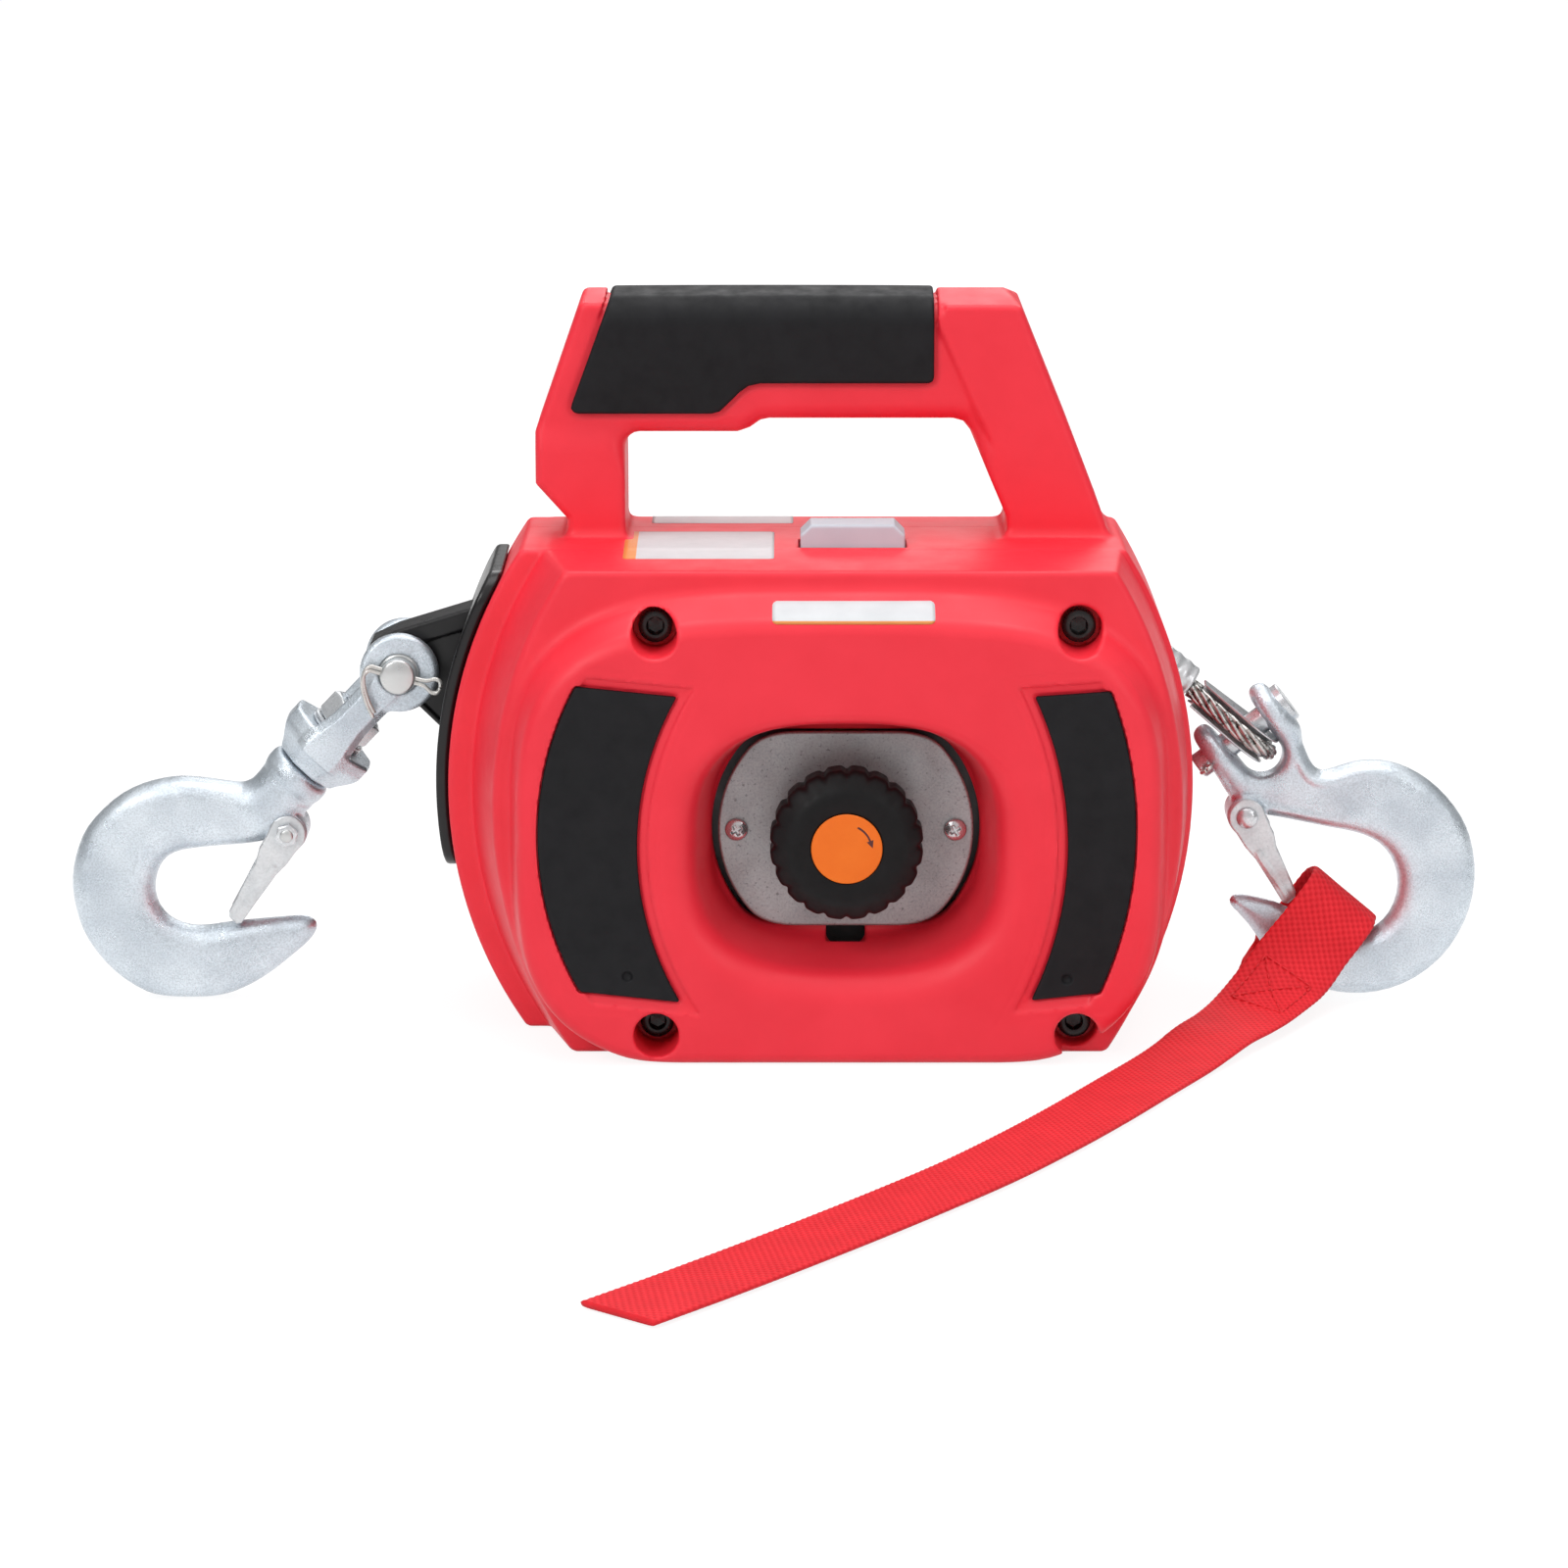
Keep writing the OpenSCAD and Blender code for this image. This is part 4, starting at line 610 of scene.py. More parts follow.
# the stitches lie on the face that looks up
on, above = strap_point(strap_pts, np.array([60.0, 60.0]), np.zeros(2), np.array([0.0, 1.0]))
sewn = stitches("strap_stitching", 34, 54, 8.2, 1.0 if above[2] > on[2] else -1.0)
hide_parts("pull_strap")
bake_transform(strap)
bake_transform(sewn)
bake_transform(tail)

# ---------------------------------------------------------------- case
cap_lo, cap_hi = [np.array(v) * 1000 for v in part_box("bit_cap")]
cap_x = (cap_lo[0] + cap_hi[0]) / 2
CAP_GAP = 0.35  # clearance of the bit cap in its opening
CASE_TOP = 142  # height of the case without its handle
WALL = 3.4  # thickness of the case
LEFT_R, RIGHT_R, SIDE_Z = 125, 131, 71  # bows of the case's sides, and the height of their middles
HANDLE_OUT = [(-80, 130), (-80.3, 147.4), (-89.4, 157.5), (-89.4, 172.5), (-75.9, 211.0),
    (-74.6, 212.5), (46, 212.5), (50.5, 208.5), (64.5, 174), (73.8, 150), (80.5, 130)]
WINDOW = [(-63.5, 125), (-63.5, 168)] + arc((-59.5, 168), 4, 180, 90, 4)[1:] + [(-31, 172),
    (-27.5, 173.2), (-24.5, 175.3), (-22, 175.8), (31, 175.8), (34, 175), (36, 172.5), (46.5, 148),
    (46.8, 145), (45, 125)]
GRIP = [(-62.6, 225), (-78.6, 181.2), (-79, 179.6), (-78.2, 178.4), (-77, 178), (-38.5, 178),
    (-36.1, 178.7), (-33, 181.7), (-30.5, 184.2), (-28, 186), (-24.5, 186.8), (23.8, 186.8),
    (25, 187.3), (25.4, 188.5), (25.4, 225)]


def bows(x, z, left, right, top, k=1.2):
    """Outline with bowed sides that reach left and right, flat at the top and at the floor."""
    a = np.hypot(x - (LEFT_R - left), z - SIDE_Z) - LEFT_R
    b = np.hypot(x - (right - RIGHT_R), z - SIDE_Z) - RIGHT_R
    return smax(smax(a, b, k), smax(z - top, -z, k), k)


def case_outer(x, v, z, front=True):
    """Outside of the case at depth v from the parting plane, without the recess or handle."""
    if not front:
        z = z + 0.17 * np.clip(v - 19, 0, 50) * step(z, 90, 130)
    rise = np.clip((v - 34) / 28, 0, 1)
    first = slab(bows(x, z, 114.8, 100.5, CASE_TOP - 0.7 * np.clip(v / 34, 0, 1)), v, -60, 34.5, 1.4)
    second = slab(bows(x, z, 107.8 - 7.6 * rise, 99.0 - 3.6 * rise, 141.35 - 1.2 * rise, 1.4), v, -60,
        62, 1.7)
    u = np.clip((v - 60) / 15, 0, 1)
    left, right, top = -96.0 + 3.4 * u, 91.8 - 3.6 * u, 136.0 - 8.5 * u
    third = power(x, z, (left + right) / 2, (top - 3.5) / 2, (right - left) / 2, (top + 3.5) / 2, 3.5)
    third = smax(third, -z, 2.0)
    third = slab(third * 0.86, v, -60, 75, 3.0)
    return np.maximum(smin(smin(first, second, 1.0), third, 2.4), -z)


def recess_void(x, v, z):
    """The recess round the knob, wider at the front."""
    u = np.clip((75 - v) / 27, 0, 1)
    hole = power(x, z, 0, 62.0 + 0.8 * u, 44.0 - 5.6 * u, 37.2 - 5.6 * u, 2.8)
    return smax(hole, 46.4 - v, 2.6)


def recess_roll(x, z):
    """Radius of the recess's rim: tight at the top, wide at the sides and the bottom."""
    return 3.2 + 5.2 * step(-(z - SHAFT_Z) + 0.25 * np.abs(x), -34, 6)


def handle_solid(x, v, z):
    """The handle without its grip, a little thicker right of the grip."""
    bar = step(x + (z - 193.8) * 0.4415, 29.3, 32.0)
    body = slab(poly(x, z, HANDLE_OUT), v, -40, 16.4 + 1.6 * np.maximum(bar, step(-z, -176, -166)), 2.2)
    body = smax(body, z - 212.5 + 0.2 * np.clip(v - 1, 0, 20), 1.5)
    return smax(body, -poly(x, z, WINDOW), 2.0 + 4.6 * step(z, 158, 172))


def grip_surface(x, v, z):
    """Outside of the bar where the grip lies: rounder than the bare handle."""
    top = 212.4 + 0.5 * np.sqrt(np.clip(1 - ((x + 22) / 60) ** 2, 0, 1)) - 0.13 * np.clip(v - 1, 0, 20)
    return rounded(z - top, v - 18.2, 7.5)


# for the left and the right pad: inner and outer circle, and the corners of its straight ends
PADS = {
    -1: (((30.5, 63), 89.6), ((5.2, 66), 92.4), [(-100, 24), (-40, 17.5), (-40, 106.0), (-100, 112.2)]),
    1: (((-40.7, 63), 103), ((-33, 67), 114.5), [(40, 17.5), (100, 24), (100, 110.2), (40, 106.0)]),
}


def pad_shape(x, z, side):
    """Outline of the left (-1) or right (1) pad."""
    inner, outer, ends = PADS[side]
    return smax(smax(disc(x, z, *outer), poly(x, z, ends), 0.8), -disc(x, z, *inner), 0.8)


SCREWS = [(x, z) for x in (-54, 65.5) for z in (8.5, 124)]


def shell_common(x, v, z, front):
    """One half of the case without its own holes, at depth v from the parting plane."""
    outer = level = case_outer(x, v, z, front)
    if front:
        outer = smax(outer, -recess_void(x, v, z), recess_roll(x, z))
    pads = np.minimum(pad_shape(x, z, -1), pad_shape(x, z, 1))
    # the pockets: straight sides for the pad, and a sloped border everywhere but on the pad's outer edge
    pocket = smax(pads - 0.4, -(level + 2.0), 0.3)
    left, right = disc(x, z, (5.2, 66), 91.8), disc(x, z, (-33, 67), 113.9)
    border = 0.85 * step(-pads, -3.1, -2.7) + 0.75 * np.clip(1 - (pads - 0.4) / 2.2, 0, 1)
    border = border * step(-np.maximum(left, right), -0.2, 1.6)
    border = np.where(np.minimum(left, right) > 0, 0, border)
    outer = np.where(np.abs(pads) < 6, smax(outer, level + border, 0.3), outer)
    outer = smax(outer, -pocket, 0.3)
    for c in SCREWS:
        outer = smax(outer, -smax(disc(x, z, c, 6.4), 54 - v, 0.4), 1.2)
    # the handle, with a bed for the grip
    hand = handle_solid(x, v, z)
    g = grip_surface(x, v, z)
    inlay = poly(x, z, GRIP)
    hand = smax(hand, -smax(inlay - 1.1, -(g + 2.2), 0.5), 0.9)
    hand = np.where(z > 150, smax(hand, np.where(inlay < 3, g - 0.6, -50), 1.0), hand)
    body = smin(outer, hand, 3.4)
    # room inside the case
    hollow = level + WALL
    if front:
        hollow = smax(hollow, -(recess_void(x, v, z) - 3.2), 1.0)
    for c in SCREWS:
        hollow = smax(hollow, -disc(x, z, c, 8.8), 1.0)
    body = np.maximum(body, -hollow)
    # slots for the lug and the rope
    lug = np.maximum(np.abs(x + 115) - 22, np.maximum(v - 7.9, np.abs(z - 98.75) - 22.1))
    rope = np.maximum(np.abs(x - 100) - 18, np.maximum(v - 11, np.abs(z - 99.5) - 13.5))
    return smax(body, -np.minimum(lug, rope), 0.8)


def cap_hole(x, z):
    """The bit cap's opening in the case, without its ends along Y."""
    return np.maximum(np.abs(x - cap_x) - (cap_hi[0] - cap_lo[0]) / 2 - CAP_GAP,
        np.abs(z - CASE_TOP) - 8)


def front_sdf(x, y, z):
    v = -y
    d = shell_common(x, v, z, True)
    slot = np.maximum(box2(x, z, 0, 32.2, 5.6, 4.0, 2.8), np.abs(v - 44) - 7)
    bore = np.maximum(disc(x, z, (0, SHAFT_Z), 12.6), np.abs(v - 46) - 8)
    plate = smax(disc(x, z, (0, SHAFT_Z), 38.4), np.abs(z - SHAFT_Z) - 28.6, 5.0)
    bore = np.minimum(bore, np.maximum(plate, np.abs(v - 44) - 7))
    cap = np.maximum(cap_hole(x, z), np.maximum(v + cap_lo[1] - CAP_GAP, -cap_hi[1] - CAP_GAP - v))
    return smax(d, -np.minimum(np.minimum(slot, bore), cap), 0.5)


BEZEL_AT = (38.9, 91.73)


def rear_sdf(x, y, z):
    d = shell_common(x, y, z, False)
    bore = np.maximum(disc(x, z, BEZEL_AT, 12.1), 60 - y)
    if cap_hi[1] > 0:
        cap = np.maximum(cap_hole(x, z), y - cap_hi[1] - CAP_GAP)
        bore = np.minimum(bore, cap)
    return smax(d, -bore, 0.5)


def cut_flat(obj, y_mm, keep_front):
    """Cuts the case half on its parting plane and closes the cut."""
    bm = bmesh.new()
    bm.from_mesh(obj.data)
    n = (0, 1, 0) if keep_front else (0, -1, 0)
    bmesh.ops.bisect_plane(bm, geom=bm.verts[:] + bm.edges[:] + bm.faces[:],
                           plane_co=(0, y_mm * MM, 0), plane_no=n, clear_outer=True, dist=1e-7)
    edges = [e for e in bm.edges if e.is_boundary]
    bmesh.ops.triangle_fill(bm, use_beauty=True, edges=edges, normal=n)
    bmesh.ops.recalc_face_normals(bm, faces=bm.faces)
    bm.to_mesh(obj.data)
    bm.free()
    return obj


SEAM = 0.12  # from the parting plane to each half; the front half is meshed finer
half = sdf_object("case_front", front_sdf, (-119, -78, -3), (104, 3, 216), 0.76, RED)
place(sharpen(cut_flat(half, -SEAM, True), 50), "frame", "case_red", "front_housing")
half = sdf_object("case_rear", rear_sdf, (-119, -3, -3), (104, 78, 216), 0.95, RED)
place(sharpen(cut_flat(half, SEAM, False), 50), "frame", "case_red", "rear_housing")


def grip_sdf(sign):
    """One half of the grip: a 2.1 mm layer in the handle's bed."""
    def f(x, y, z):
        v = sign * y
        g = grip_surface(x, v, z)
        inlay = poly(x, z, GRIP)
        d = smax(smax(g, -(g + 2.1), 0.3), inlay, 1.1)
        return smax(d, 0.1 - v, 0.2)
    return f


for sign, name in ((-1, "handle_grip_front"), (1, "handle_grip_rear")):
    lo, hi = ((-88, -21, 175), (30, 1, 216)) if sign < 0 else ((-88, -1, 175), (30, 21, 216))
    place(sdf_object("grip_" + name[12:], grip_sdf(sign), lo, hi, 0.55, RUBBER), "frame",
        "rubber_black", name)


def pad_sdf(side, sign):
    """A rubber pad in its pocket, with a dimple near its lower end."""
    dimple = (-62.1, 25.9) if side < 0 else (62.5, 25.1)

    def f(x, y, z):
        v = sign * y
        level = case_outer(x, v, z, sign < 0)
        d = smax(smax(level + 0.35, -(level + 1.9), 0.4), pad_shape(x, z, side), 0.7)
        pit = np.sqrt((x - dimple[0]) ** 2 + (z - dimple[1]) ** 2 + (v - 75.2) ** 2) - 1.7
        return smax(d, -pit, 0.3)
    return f


for sign, where in ((-1, "front"), (1, "rear")):
    for side, hand in ((-1, "left"), (1, "right")):
        x0, x1 = (-90, -42) if side < 0 else (44, 88)
        y0, y1 = (-77, -66) if sign < 0 else (66, 77)
        place(sdf_object(f"pad_{where}_{hand}", pad_sdf(side, sign), (x0, y0, 12), (x1, y1, 116), 0.5,
            RUBBER), "frame", "rubber_black", f"{where}_pad_{hand}")


# ---------------------------------------------------------------- knob, plate and screws
PLATE_SCREWS = (-31.3, 31.3)


def plate_sdf(x, y, z):
    d = smax(disc(x, z, (0, SHAFT_Z), 36.5), np.abs(z - SHAFT_Z) - 28.5, 5.0)
    d = slab(d, -y, 48.02, 50, 0.45)
    d = smax(d, -disc(x, z, (0, SHAFT_Z), 12.6), 0.4)
    for sx in PLATE_SCREWS:
        d = smax(d, -disc(x, z, (sx, SHAFT_Z), 1.8), 0.3)
    return d


place(sdf_object("cover_plate_face", plate_sdf, (-38, -51, 33), (38, -47, 93), 0.45, PLATE), "frame",
    "galvanised", "cover_plate")


def knob_sdf(x, y, z):
    v = -y
    r, a = np.hypot(x, z - SHAFT_Z), np.arctan2(z - SHAFT_Z, x)
    rim = 21.75 - (0.5 + 0.5 * np.cos(20 * a)) ** 4.5
    top = 74.5 - 3.2 * step(r, 13.5, 21.75) ** 1.6 + 0.5 * step(r, 9, 13.5) - 0.5
    d = smax(r - rim, v - top, 2.4)
    d = smax(d, 61.6 - v, 1.2)
    skirt = smax(r - 12, np.abs(v - 58) - 6, 0.8)
    d = smin(d, skirt, 0.8)
    d = smax(d, -smax(r - 10.2, 73.7 - v, 0.2), 0.3)
    return smax(d, -smax(r - 6.1, v - 74, 0.2), 0.2)


place(sdf_object("clutch_knob_body", knob_sdf, (-23, -76, 40), (23, -51, 86), 0.4, KNOB), "knob",
    "rubber_black", "clutch_knob")

disc_piece = lathe("knob_disc_face", [(73.75, 9.5), (73.75, 10.0), (74.3, 10.05), (74.55, 9.8),
    (74.6, 9.2), (74.62, 5), (74.62, 0.2)], y_axis(0, SHAFT_Z, -1), ORANGE, 72)
place(disc_piece, "knob", "disc_orange", "knob_disc")
ARROW_Y = -74.66  # just proud of the disc


def arrow_piece():
    """Curved arrow on the disc, right of its middle, pointing down."""
    inner, outer, v, f = 6.7, 7.25, [], []
    ang = np.linspace(rad(64), rad(20), 18)
    for a in ang:
        for r in (inner, outer):
            v.append((r * math.cos(a), ARROW_Y, SHAFT_Z + r * math.sin(a)))
    for k in range(len(ang) - 1):
        f.append((2 * k, 2 * k + 1, 2 * k + 3, 2 * k + 2))
    base = len(v)
    a, mid = ang[-1], (inner + outer) / 2
    t = (math.sin(a), -math.cos(a))
    for r, along in ((mid - 1.0, 0), (mid + 1.0, 0), (mid, 2.2)):
        v.append((r * math.cos(a) + t[0] * along, ARROW_Y, SHAFT_Z + r * math.sin(a) + t[1] * along))
    f.append((base, base + 1, base + 2))
    n = len(v)
    v += [(x, y + 0.06, z) for x, y, z in v]
    faces = f + [tuple(i + n for i in q[::-1]) for q in f]
    count = {}
    for q in f:
        for i in range(len(q)):
            e = (q[i], q[(i + 1) % len(q)])
            count[tuple(sorted(e))] = count.get(tuple(sorted(e)), []) + [e]
    for e in count.values():
        if len(e) == 1:
            i, j = e[0]
            faces.append((j, i, i + n, j + n))
    return outward(mesh_object("knob_arrow", v, faces, INK, False))


place(arrow_piece(), "knob", "disc_orange")


def phillips(cx):
    """A cross-head screw of the cover plate, slightly domed."""
    def f(x, y, z):
        v = -y
        r = np.hypot(x - cx, z - SHAFT_Z)
        head = smax(np.sqrt(r * r + (v - 47.4) ** 2) - 4.75, 50.02 - v, 0.15)
        head = smax(head, r - 3.35, 0.5)
        c, s = math.cos(0.5), math.sin(0.5)
        u, w = np.abs((x - cx) * c + (z - SHAFT_Z) * s), np.abs(-(x - cx) * s + (z - SHAFT_Z) * c)
        taper = 0.28 * np.clip(v - 50.6, -1, 3)
        cross = np.minimum(np.maximum(u - 0.42, w - 1.35 - taper),
            np.maximum(w - 0.42, u - 1.35 - taper))
        head = smax(head, -np.maximum(cross, 50.7 - v), 0.16)
        shank = np.maximum(r - 1.5 - 0.12 * np.sin(2 * math.pi * v / 0.9), np.abs(v - 48) - 2.6)
        return smin(head, shank, 0.1)
    return f


heads = [sdf_points(phillips(cx), (cx - 4, -53.2, 59), (cx + 4, -44.5, 67), 0.16) for cx in PLATE_SCREWS]
place_mesh("cover_screw_heads", join(heads), SCREW, "frame", "zinc_bright", "cover_plate_screws")

parts = []
prof = [(-59, 0.3), (-59, 2.2), (-58.4, 2.5), (54, 2.5), (54, 4.6), (54.25, 4.8), (58.0, 4.8),
    (58.6, 4.65), (58.95, 4.1), (59, 3.2), (58.9, 2.62), (58.5, 2.3), (56.2, 2.0), (56.0, 0.3)]
for x, z in SCREWS:
    o = lathe("screw", prof, y_axis(x, z, -1), BOLT, 48, hexed=(11, 12))
    parts.append(([tuple(c * 1000 for c in q.co) for q in o.data.vertices],
        [tuple(p.vertices) for p in o.data.polygons]))
    bpy.data.objects.remove(o)
screws = outward(mesh_object("case_socket_screws", *join(parts), BOLT))
place(sharpen(screws), "frame", "bolt_black", "case_screws")

# ---------------------------------------------------------------- bit cap
def cap_sdf(x, y, z):
    hx = (cap_hi[0] - cap_lo[0]) / 2
    lo, hi, top = cap_x - hx, cap_x + hx, cap_hi[2]
    d2 = poly(x, z, [(lo, 139), (lo, top - 3), (lo + 3, top), (hi - 3, top), (hi, top - 3), (hi, 139)])
    return slab(d2, y, cap_lo[1], cap_hi[1], 0.7)


place(sdf_object("bit_cap_top", cap_sdf, (cap_lo[0] - 1, cap_lo[1] - 1, 138), tuple(cap_hi + 1), 0.45,
    CAP), "bit_store", "cap_grey", "bit_cap")
cap_y = (cap_lo[1] + cap_hi[1]) / 2 if cap_hi[1] < 0 else -7
low = cap_lo[2]
socket = ring("bit_holder", [(low, 4.65), (low, 6.0), (low + 0.4, 6.25), (139.4, 6.25), (139.4, 4.65)],
              lambda a, u, v: np.stack([cap_x + u, cap_y + v, a], 1), CAP, 48)
place(socket, "bit_store", "cap_grey")


# ---------------------------------------------------------------- labels that lie on the case
def drop(f, pts, axis, start, sign, lift):
    """Moves points along one axis until they meet f's surface, then lifts them off it."""
    p = np.array(pts, float)
    p[:, axis] = start
    for _ in range(60):
        d = f(p[:, 0], p[:, 1], p[:, 2])
        p[:, axis] -= sign * np.clip(d * 0.8, -2, 2)
    p[:, axis] += sign * lift
    return p


def label(name, corners, axis, start, sign, stripe, f, radius=1.2):
    """Rounded sheet between two corners, across the axis. stripe is (side, width) of the orange edge."""
    (a0, b0), (a1, b1) = corners
    na, nb = max(8, int(abs(a1 - a0) / 1.2)), max(6, int(abs(b1 - b0) / 1.0))
    A, B = np.meshgrid(np.linspace(a0, a1, na + 1), np.linspace(b0, b1, nb + 1), indexing="ij")
    ca, cb, ha, hb = (a0 + a1) / 2, (b0 + b1) / 2, abs(a1 - a0) / 2, abs(b1 - b0) / 2
    da, db = np.abs(A - ca) - ha + radius, np.abs(B - cb) - hb + radius
    out = np.maximum(np.hypot(np.maximum(da, 0), np.maximum(db, 0)) - radius, 0)
    A = A - np.sign(A - ca) * out * 0.75
    B = B - np.sign(B - cb) * out * 0.75
    pts = np.zeros((A.size, 3))
    other = [i for i in range(3) if i != axis]
    pts[:, other[0]], pts[:, other[1]] = A.ravel(), B.ravel()
    top, low = drop(f, pts, axis, start, sign, 0.12), drop(f, pts, axis, start, sign, 0.02)
    n, m = A.size, nb + 1
    idx = lambda i, j: i * m + j
    faces = [(idx(i, j), idx(i + 1, j), idx(i + 1, j + 1), idx(i, j + 1))
             for i in range(na) for j in range(nb)]
    loop = ([idx(i, 0) for i in range(na)] + [idx(na, j) for j in range(nb)]
            + [idx(i, nb) for i in range(na, 0, -1)] + [idx(0, j) for j in range(nb, 0, -1)])
    rim = [(a, b, b + n, a + n) for a, b in zip(loop, loop[1:] + loop[:1])]
    full = faces + [tuple(i + n for i in q[::-1]) for q in faces] + rim
    obj = outward(mesh_object(name, np.vstack([top, low]), full, [PAPER, STRIPE]))
    side, width = stripe
    for p in obj.data.polygons:
        c = sum((obj.data.vertices[i].co for i in p.vertices), Vector()) / len(p.vertices) * 1000
        edge = {"left": c.x - min(a0, a1), "bottom": c.z - min(b0, b1)}.get(side, width)
        if edge < width:
            p.material_index = 1
    return obj


top_sdf = lambda x, y, z: np.where(y > 0, case_outer(x, y, z, False), case_outer(x, -y, z))
front_face = lambda x, y, z: case_outer(x, -y, z)
place(label("label_top_front", ((-63.5, -46), (-20.5, -8)), 2, 146, 1, ("left", 3.6), top_sdf), "frame",
    "cap_grey")
place(label("label_top_rear", ((-56.5, 6), (-15, 22)), 2, 146, 1, ("none", 0), top_sdf), "frame",
    "cap_grey")
place(label("label_front", ((-21, 127.4), (24.6, 132.6)), 1, -80, -1, ("bottom", 0.9), front_face),
    "frame", "cap_grey")

# ---------------------------------------------------------------- anchor bracket
def band_sdf(x, y, z):
    r = np.hypot(x - (LEFT_R - 114.8), z - SIDE_Z)
    d = np.maximum(r - 128.8, 125.3 - r)
    d2 = smax(d, box2(y, z, 0, 89.5, 30, 43.5, 9), 1.1)
    d2 = np.maximum(d2, x + 60)
    slot = np.maximum(np.abs(y) - 7.55, np.abs(z - 98.75) - 21.8)
    return smax(d2, -slot, 0.3)


place(sdf_object("anchor_band_strip", band_sdf, (-121, -32, 44), (-88, 32, 135), 0.6, PAINT), "frame",
    "bracket_black", "anchor_band")


def lug_sdf(x, y, z):
    blade = [(-88, 120.3), (-106, 120.3), (-131, 112.6), (-138.5, 109), (-141.8, 101), (-139, 92.4),
        (-131, 89), (-124.5, 89.6), (-112, 77.2), (-88, 77.2)]
    d = slab(poly(x, z, blade), y, -7.5, 7.5, 1.1)
    # shallow step under the top edge on both faces
    cut = [(-90, 114.6), (-105, 114.6), (-128, 107.6), (-135, 101), (-131, 91), (-124.5, 92),
        (-112.6, 79.6), (-90, 79.6)]
    d = smax(d, -smax(poly(x, z, cut), 6.6 - np.abs(y), 0.3), 0.5)
    root = slab(box2(x, z, -84, 97.5, 8, 13.4, 1), y, -24.9, 24.9, 0.6)
    d = smin(d, root, 0.6)
    d = smax(d, -disc(x, z, (-130, 101), 6.05), 0.4)
    for zz in (90, 105):
        d = np.maximum(d, -disc(x, z, (-84, zz), 4.1))
    return d


place(sdf_object("anchor_lug_body", lug_sdf, (-144, -27, 75), (-74, 27, 123), 0.6, PAINT), "frame",
    "bracket_black", "anchor_lug")

# ---------------------------------------------------------------- anchor yoke and hook
ANCHOR = ((-130.0, 101.0), 226.4)


def yoke_sdf(s, y, q):
    w = np.abs(y)
    ear = slab(disc(s, q, (0, 0), 11.5), w, 9.2, 14.4, 1.5)
    half = 5.9 + 1.6 * step(s, 20, 33) - 0.4 * step(s, 4, 14)
    mid = 11.9
    arm = np.maximum(np.abs(q) - half, np.abs(w - mid) - 2.75)
    arm = np.maximum(arm, (np.abs(q) - half + np.abs(w - mid) - 2.75 + 2.1) * 0.7071)
    arm = np.maximum(arm, np.maximum(-s, s - 36))
    d = smin(ear, arm, 1.3)
    a = np.arctan2(q, y)
    r = np.hypot(y, q)
    facet = r * np.cos((a + math.pi / 8) % (math.pi / 4) - math.pi / 8)
    r2 = 0.3 * r + 0.7 * facet
    cone = 14.2 - 4.6 * step(s, 33, 43)
    base = smax(r2 - cone, np.maximum(29 - s, s - 42), 1.1) * 0.92
    d = smin(d, base, 0.9)
    d = smax(d, -(r - 5.0), 0.4)
    return smax(d, -disc(s, q, (0, 0), 6.02), 0.5)


place(sdf_object("anchor_yoke_forging", yoke_sdf, (-13, -16.5, -16), (44, 16.5, 16), 0.45, CAST,
    ANCHOR), "yoke", "zinc_cast", "anchor_yoke")

HOOK_A = soften([
    (47, -8.2), (54, -7.0), (57.5, -8.2), (61.7, -13.7), (64.7, -18.1), (67.5, -21.7), (70.6, -25.2),
        (75.3, -28.8), (80.8, -31.9), (87.3, -34.0),
    (95.2, -34.6), (101.9, -34.0), (107.8, -31.6), (113.2, -28.4), (117.8, -24.2), (121.7, -18.9),
        (125.0, -12.8), (126.9, -4.7), (127.2, 3.0), (125.9, 10.5),
    (123.4, 16.8), (119.6, 22.3), (115.2, 26.6), (110.5, 29.6), (105.2, 32.2), (99.9, 34.2),
        (93.1, 35.7), (86.5, 36.6), (81.8, 37.2), (77.6, 37.0),
    (74.6, 35.4), (74.3, 32.4), (76.0, 29.6), (79.8, 26.3), (84.0, 22.8), (88.6, 19.0), (93.2, 15.2),
        (97.6, 12.0), (100.9, 8.8), (103.0, 5.2),
    (103.9, 1.2), (103.0, -3.4), (100.0, -7.6), (95.4, -10.4), (91.2, -11.2), (87.1, -10.0),
        (82.1, -6.2), (75.6, -0.5), (69.0, 5.2), (65, 7.6),
    (60, 8.8), (47, 8.8)], True, 1)


def hook_a_sdf(s, y, q):
    w = np.abs(y)
    out = smax(poly(s, q, HOOK_A), 0.7242 * s + 0.6896 * q - 100.9, 2.0)
    tip = np.hypot(s - 76, q - 34)
    t = 6.5 - 3.0 * (1 - step(tip, 2, 40))
    bowl = np.hypot(s - 91, q - 0.5)
    t = t - 0.9 * (1 - step(bowl, 11, 21)) * step(s, 58, 66)
    body = smax(out, w - t, 6.4)
    body = np.where(s < 46, 50.0, body)
    boss = slab(disc(s, q, (59.3, 9.4), 5.7), y, -6.5, 6.5, 0.8)
    r = np.hypot(y, q)
    collar = smax(r - 10.0, np.abs(s - 45.7) - 3.3, 2.9)
    neck = smax(r - (8.5 - 0.7 * step(s, 48, 60)), np.maximum(45 - s, s - 63), 3.6)
    d = smin(smin(body, neck, 3.6), boss, 1.2)
    d = smin(d, collar, 1.5)
    thread = 4.9 - 0.28 * (0.5 + 0.5 * np.sin(2 * math.pi * s / 1.5 + np.arctan2(q, y)))
    stud = smax(r - np.where(s < 26.6, thread, 4.92), np.maximum(17 - s, s - 50), 0.5)
    d = np.minimum(d, stud)
    d = np.maximum(d, -disc(s, q, (59.3, 9.4), 2.05))
    return np.maximum(d, -np.maximum(disc(s, q, (59.3, 9.4), 4.1), y + 2.9))


